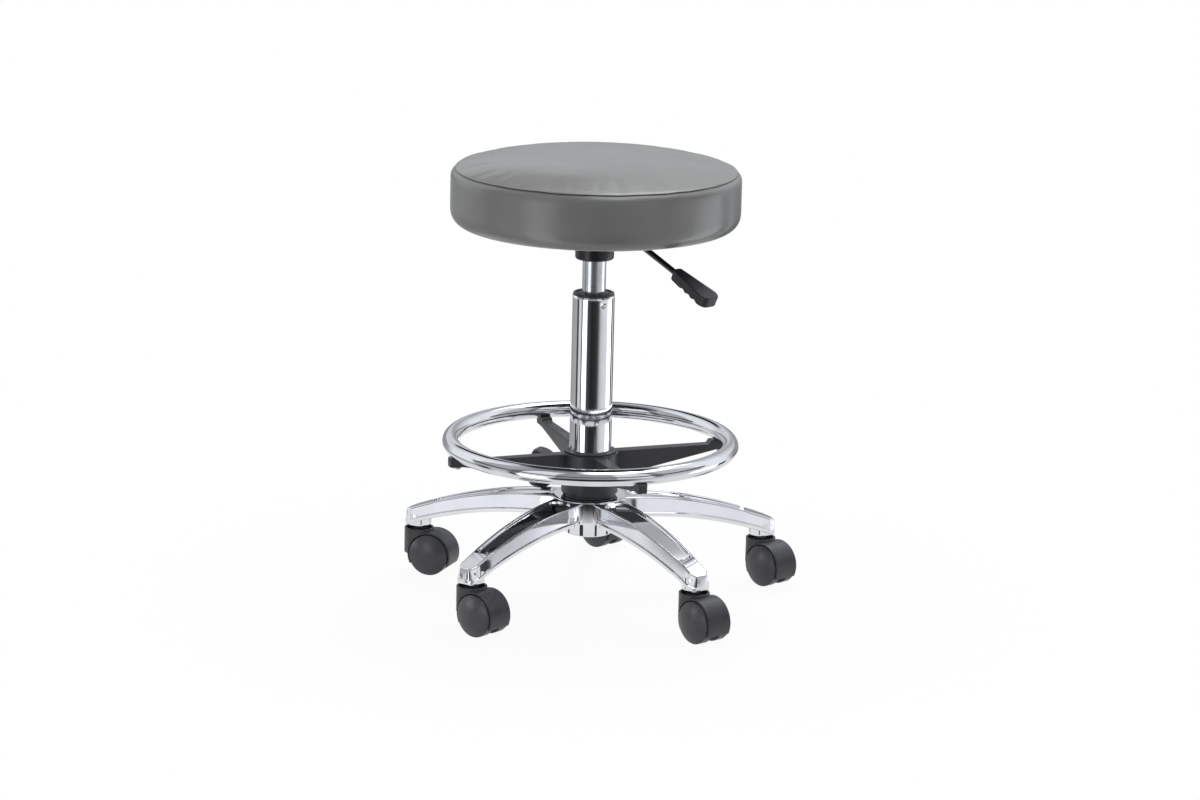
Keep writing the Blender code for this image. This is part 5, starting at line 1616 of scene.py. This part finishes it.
# %% Panels of the light tent
# Stops are (azimuth from the front in degrees, to the right; level)
PANELS_LOW = ((-180, 0.60), (-150, 0.34), (-125, 0.38), (-98, 0.42), (-94, 0.05), (-84, 0.06), (-81, 0.70),
              (-66, 0.70), (-63, 0.08), (-58, 0.10), (-55, 2.40), (-35, 2.20), (-29, 0.08), (-6, 0.02),
              (18, 0.03), (29, 0.06), (34, 0.16), (44, 0.52), (56, 0.68), (86, 0.80), (92, 2.45),
              (118, 2.50), (119, 0.01), (132, 0.01), (133, 1.10), (142, 0.60), (147, 0.10), (166, 0.10),
              (172, 0.60))
PANELS_HIGH = ((-180, 0.56), (-174, 0.74), (-150, 0.72), (-128, 1.00), (-100, 1.00), (-97, 0.46),
               (-64, 0.50), (-61, 0.20), (-55, 0.26), (-52, 0.95), (-27, 0.92), (-24, 0.34), (21, 0.38),
               (24, 0.85), (50, 0.90), (53, 0.22), (58, 0.22), (61, 0.55), (95, 0.60), (98, 1.00),
               (128, 1.00), (150, 0.80), (174, 0.42), (180, 0.56))
PANEL_TOP = 2.5


def panels(tree, turn, stops):
    """Level of the tent by an azimuth in radians, from a curve through the stops."""
    share = spread(tree, turn, 0.0, 1.0, -math.pi, math.pi)
    curve = node(tree, "ShaderNodeFloatCurve", {"Value": share})
    points = curve.mapping.curves[0].points
    while len(points) < len(stops):
        points.new(0.5, 0.5)
    for point, (degrees, level) in zip(points, stops):
        point.location = ((degrees + 180) / 360, level / PANEL_TOP)
        point.handle_type = "VECTOR"
    curve.mapping.update()
    return maths(tree, "MULTIPLY", curve.outputs["Value"], PANEL_TOP)


print("light tent: %d low and %d high stops" % (len(PANELS_LOW), len(PANELS_HIGH)))

# %% [markdown]
# A few pieces of the tent lie across the panels: a black flag behind on the left, a softbox behind on the
# right, a dark belt in front, a grey hem behind, and a ceiling that is bright on its right half. Each is a
# product of soft ranges of azimuth and height, read from the direction in which a mirrored ray leaves.

# %% What mirrors see
GROUND_LEVEL, HEM_LEVEL, FLAG_LEVEL, BELT_LEVEL, SOFTBOX_LEVEL = 0.55, 0.34, 0.012, 0.10, 3.6
CEILING_LEFT, CEILING_RIGHT = 0.28, 3.60


def tent_level(tree):
    """Level of the tent in the direction that a ray goes."""
    def rise(value, start, end, low=0.0, high=1.0):
        return spread(tree, value, low, high, start, end, interpolation_type="SMOOTHSTEP")

    def fall(value, start, end):
        return rise(value, start, end, 1.0, 0.0)

    def times(*values):
        product = values[0]
        for value in values[1:]:
            product = maths(tree, "MULTIPLY", product, value)
        return product

    def mixed(share, one, other):
        return node(tree, "ShaderNodeMix", {"Factor": share, "A": one, "B": other}).outputs["Result"]

    way = node(tree, "ShaderNodeTexCoord").outputs["Generated"]
    x, y, height = node(tree, "ShaderNodeSeparateXYZ", {0: way}).outputs
    turn = maths(tree, "ARCTAN2", x, maths(tree, "MULTIPLY", y, -1.0))
    degrees = maths(tree, "DEGREES", turn)
    flag = times(fall(degrees, -158, -150), rise(height, 0.37, 0.44), fall(height, 0.665, 0.70))
    softbox = times(rise(degrees, 140, 152), fall(degrees, 175, 180), rise(height, 0.66, 0.78))
    belt = times(fall(y, 0.15, 0.25), rise(height, 0.12, 0.15), fall(height, 0.30, 0.34))
    hem = times(rise(y, 0.60, 0.85), rise(height, -0.20, -0.14), fall(height, 0.12, 0.19))
    low, high = (panels(tree, turn, stops) for stops in (PANELS_LOW, PANELS_HIGH))
    level = mixed(rise(height, -0.20, -0.14), low, high)
    for share, other in ((hem, HEM_LEVEL), (flag, FLAG_LEVEL), (belt, BELT_LEVEL), (softbox, SOFTBOX_LEVEL)):
        level = mixed(share, level, other)
    ceiling = rise(x, -0.12, 0.10, CEILING_LEFT, CEILING_RIGHT)
    level = mixed(rise(height, 0.80, 0.95), level, ceiling)
    return mixed(fall(height, -0.95, -0.70), level, GROUND_LEVEL)


print("pieces across the panels: flag, softbox, belt, hem and ceiling")

# %% [markdown]
# The world mixes the tent, the even light and the white by the kind of ray. The tent's light is a touch
# cool, as daylight tubes are.

# %% World
EVEN_LIGHT = 0.31
WHITE, COOL = (1.0, 1.0, 1.0, 1.0), (0.965, 0.99, 1.03)


def light_tent():
    """World light: white to the camera, even to matt surfaces, panels and gaps to mirrors."""
    world = bpy.data.worlds.new("light_tent")
    tree = blank_tree(world)
    even = node(tree, "ShaderNodeBackground", {"Color": WHITE, "Strength": EVEN_LIGHT}).outputs[0]
    white = node(tree, "ShaderNodeBackground", {"Color": WHITE}).outputs[0]
    cool = node(tree, "ShaderNodeVectorMath", {0: COOL, "Scale": tent_level(tree)}, operation="SCALE")
    mirrored = node(tree, "ShaderNodeBackground", {"Color": cool.outputs["Vector"]}).outputs[0]
    path = node(tree, "ShaderNodeLightPath").outputs
    lit = mixed_shader(tree, path["Is Glossy Ray"], even, mirrored)
    node(tree, "ShaderNodeOutputWorld", {"Surface": mixed_shader(tree, path["Is Camera Ray"], lit, white)})
    return world


bpy.context.scene.world = light_tent()
print("world:", bpy.context.scene.world.name, "with", len(bpy.context.scene.world.node_tree.nodes), "nodes")

# %% [markdown]
# ## Lamps
#
# Three soft panels model the matt surfaces: one overhead and one at each side. They don't show in the
# chrome, which has the tent to mirror. Two small lamps far to the left put a soft highlight on the domed
# wheels. Light linking keeps those two to the wheels, so nothing else mirrors them.

# %% Lamps
def lamp(name, place, target, size, power, mirrored=False):
    """A rectangular panel at a place, turned to its target; power is in watts."""
    data = bpy.data.lights.new(name, "AREA")
    data.shape = "RECTANGLE"
    data.size, data.size_y = size
    data.energy = power
    obj = in_scene(name, data)
    obj.location = place
    obj.rotation_euler = (Vector(target) - Vector(place)).to_track_quat("-Z", "Y").to_euler()
    obj.visible_glossy = mirrored
    obj.visible_camera = False
    return obj


lamp("overhead", (0.30, 0.95, 1.9), (0, 0, 0.45), (1.1, 1.1), 32.0)
lamp("right_panel", (2.0, -0.8, 0.9), (0, 0, 0.4), (0.8, 1.6), 6.0)
lamp("left_panel", (-1.6, -1.3, 0.9), (0, 0, 0.4), (0.7, 1.6), 10.0)
kickers = [lamp("side_kicker", (-2.03, -0.35, 0.21), (0, -0.1, 0.03), (0.45, 0.35), 4.0, mirrored=True),
           lamp("front_kicker", (-1.50, -1.60, 0.17), (-0.2, 0.0, 0.03), (0.40, 0.30), 2.8, mirrored=True)]
wheels = bpy.data.collections.new("castor_wheels")
for own_wheel in castor_wheels:
    wheels.objects.link(own_wheel)
for kicker in kickers:
    kicker.light_linking.receiver_collection = wheels

# %% [markdown]
# ## Camera
#
# The camera has a long lens and looks down by about 14 degrees, so that the ellipses of the seat and the
# ring are about as open as in the picture. Its place and lens are fitted to those ellipses and to the
# castors' places, and the lens is given for a picture that is 1200 pixels wide.

# %% Camera
CAMERA_AWAY, CAMERA_HEIGHT = 4.4, 1.30697
CAMERA_AZIMUTH = math.radians(1.509)
PITCH, YAW, ROLL = 0.2387, 0.00234 - CAMERA_AZIMUTH, 0.02319
SENSOR_WIDTH, PICTURE_WIDTH, LENS_IN_PIXELS = 36.0, 1200, 3809.32


def camera():
    """Looks ahead by pitch and yaw, and is rolled about the line of sight."""
    stand = Vector((CAMERA_AWAY * math.sin(CAMERA_AZIMUTH), -CAMERA_AWAY * math.cos(CAMERA_AZIMUTH),
                    CAMERA_HEIGHT))
    ahead = Vector((math.sin(YAW) * math.cos(PITCH), math.cos(YAW) * math.cos(PITCH), -math.sin(PITCH)))
    right = ahead.cross(Vector((0, 0, 1))).normalized()
    up = right.cross(ahead)
    across = right * math.cos(ROLL) + up * math.sin(ROLL)
    upward = -right * math.sin(ROLL) + up * math.cos(ROLL)
    data = bpy.data.cameras.new("camera")
    data.sensor_width = SENSOR_WIDTH
    data.lens = LENS_IN_PIXELS / PICTURE_WIDTH * SENSOR_WIDTH
    obj = in_scene("camera", data)
    obj.matrix_world = Matrix.Translation(stand) @ Matrix((across, upward, -ahead)).transposed().to_4x4()
    return obj


bpy.context.scene.camera = camera()
bpy.context.scene.view_settings.view_transform = "Standard"
print("camera: %.1f mm lens" % bpy.context.scene.camera.data.lens)
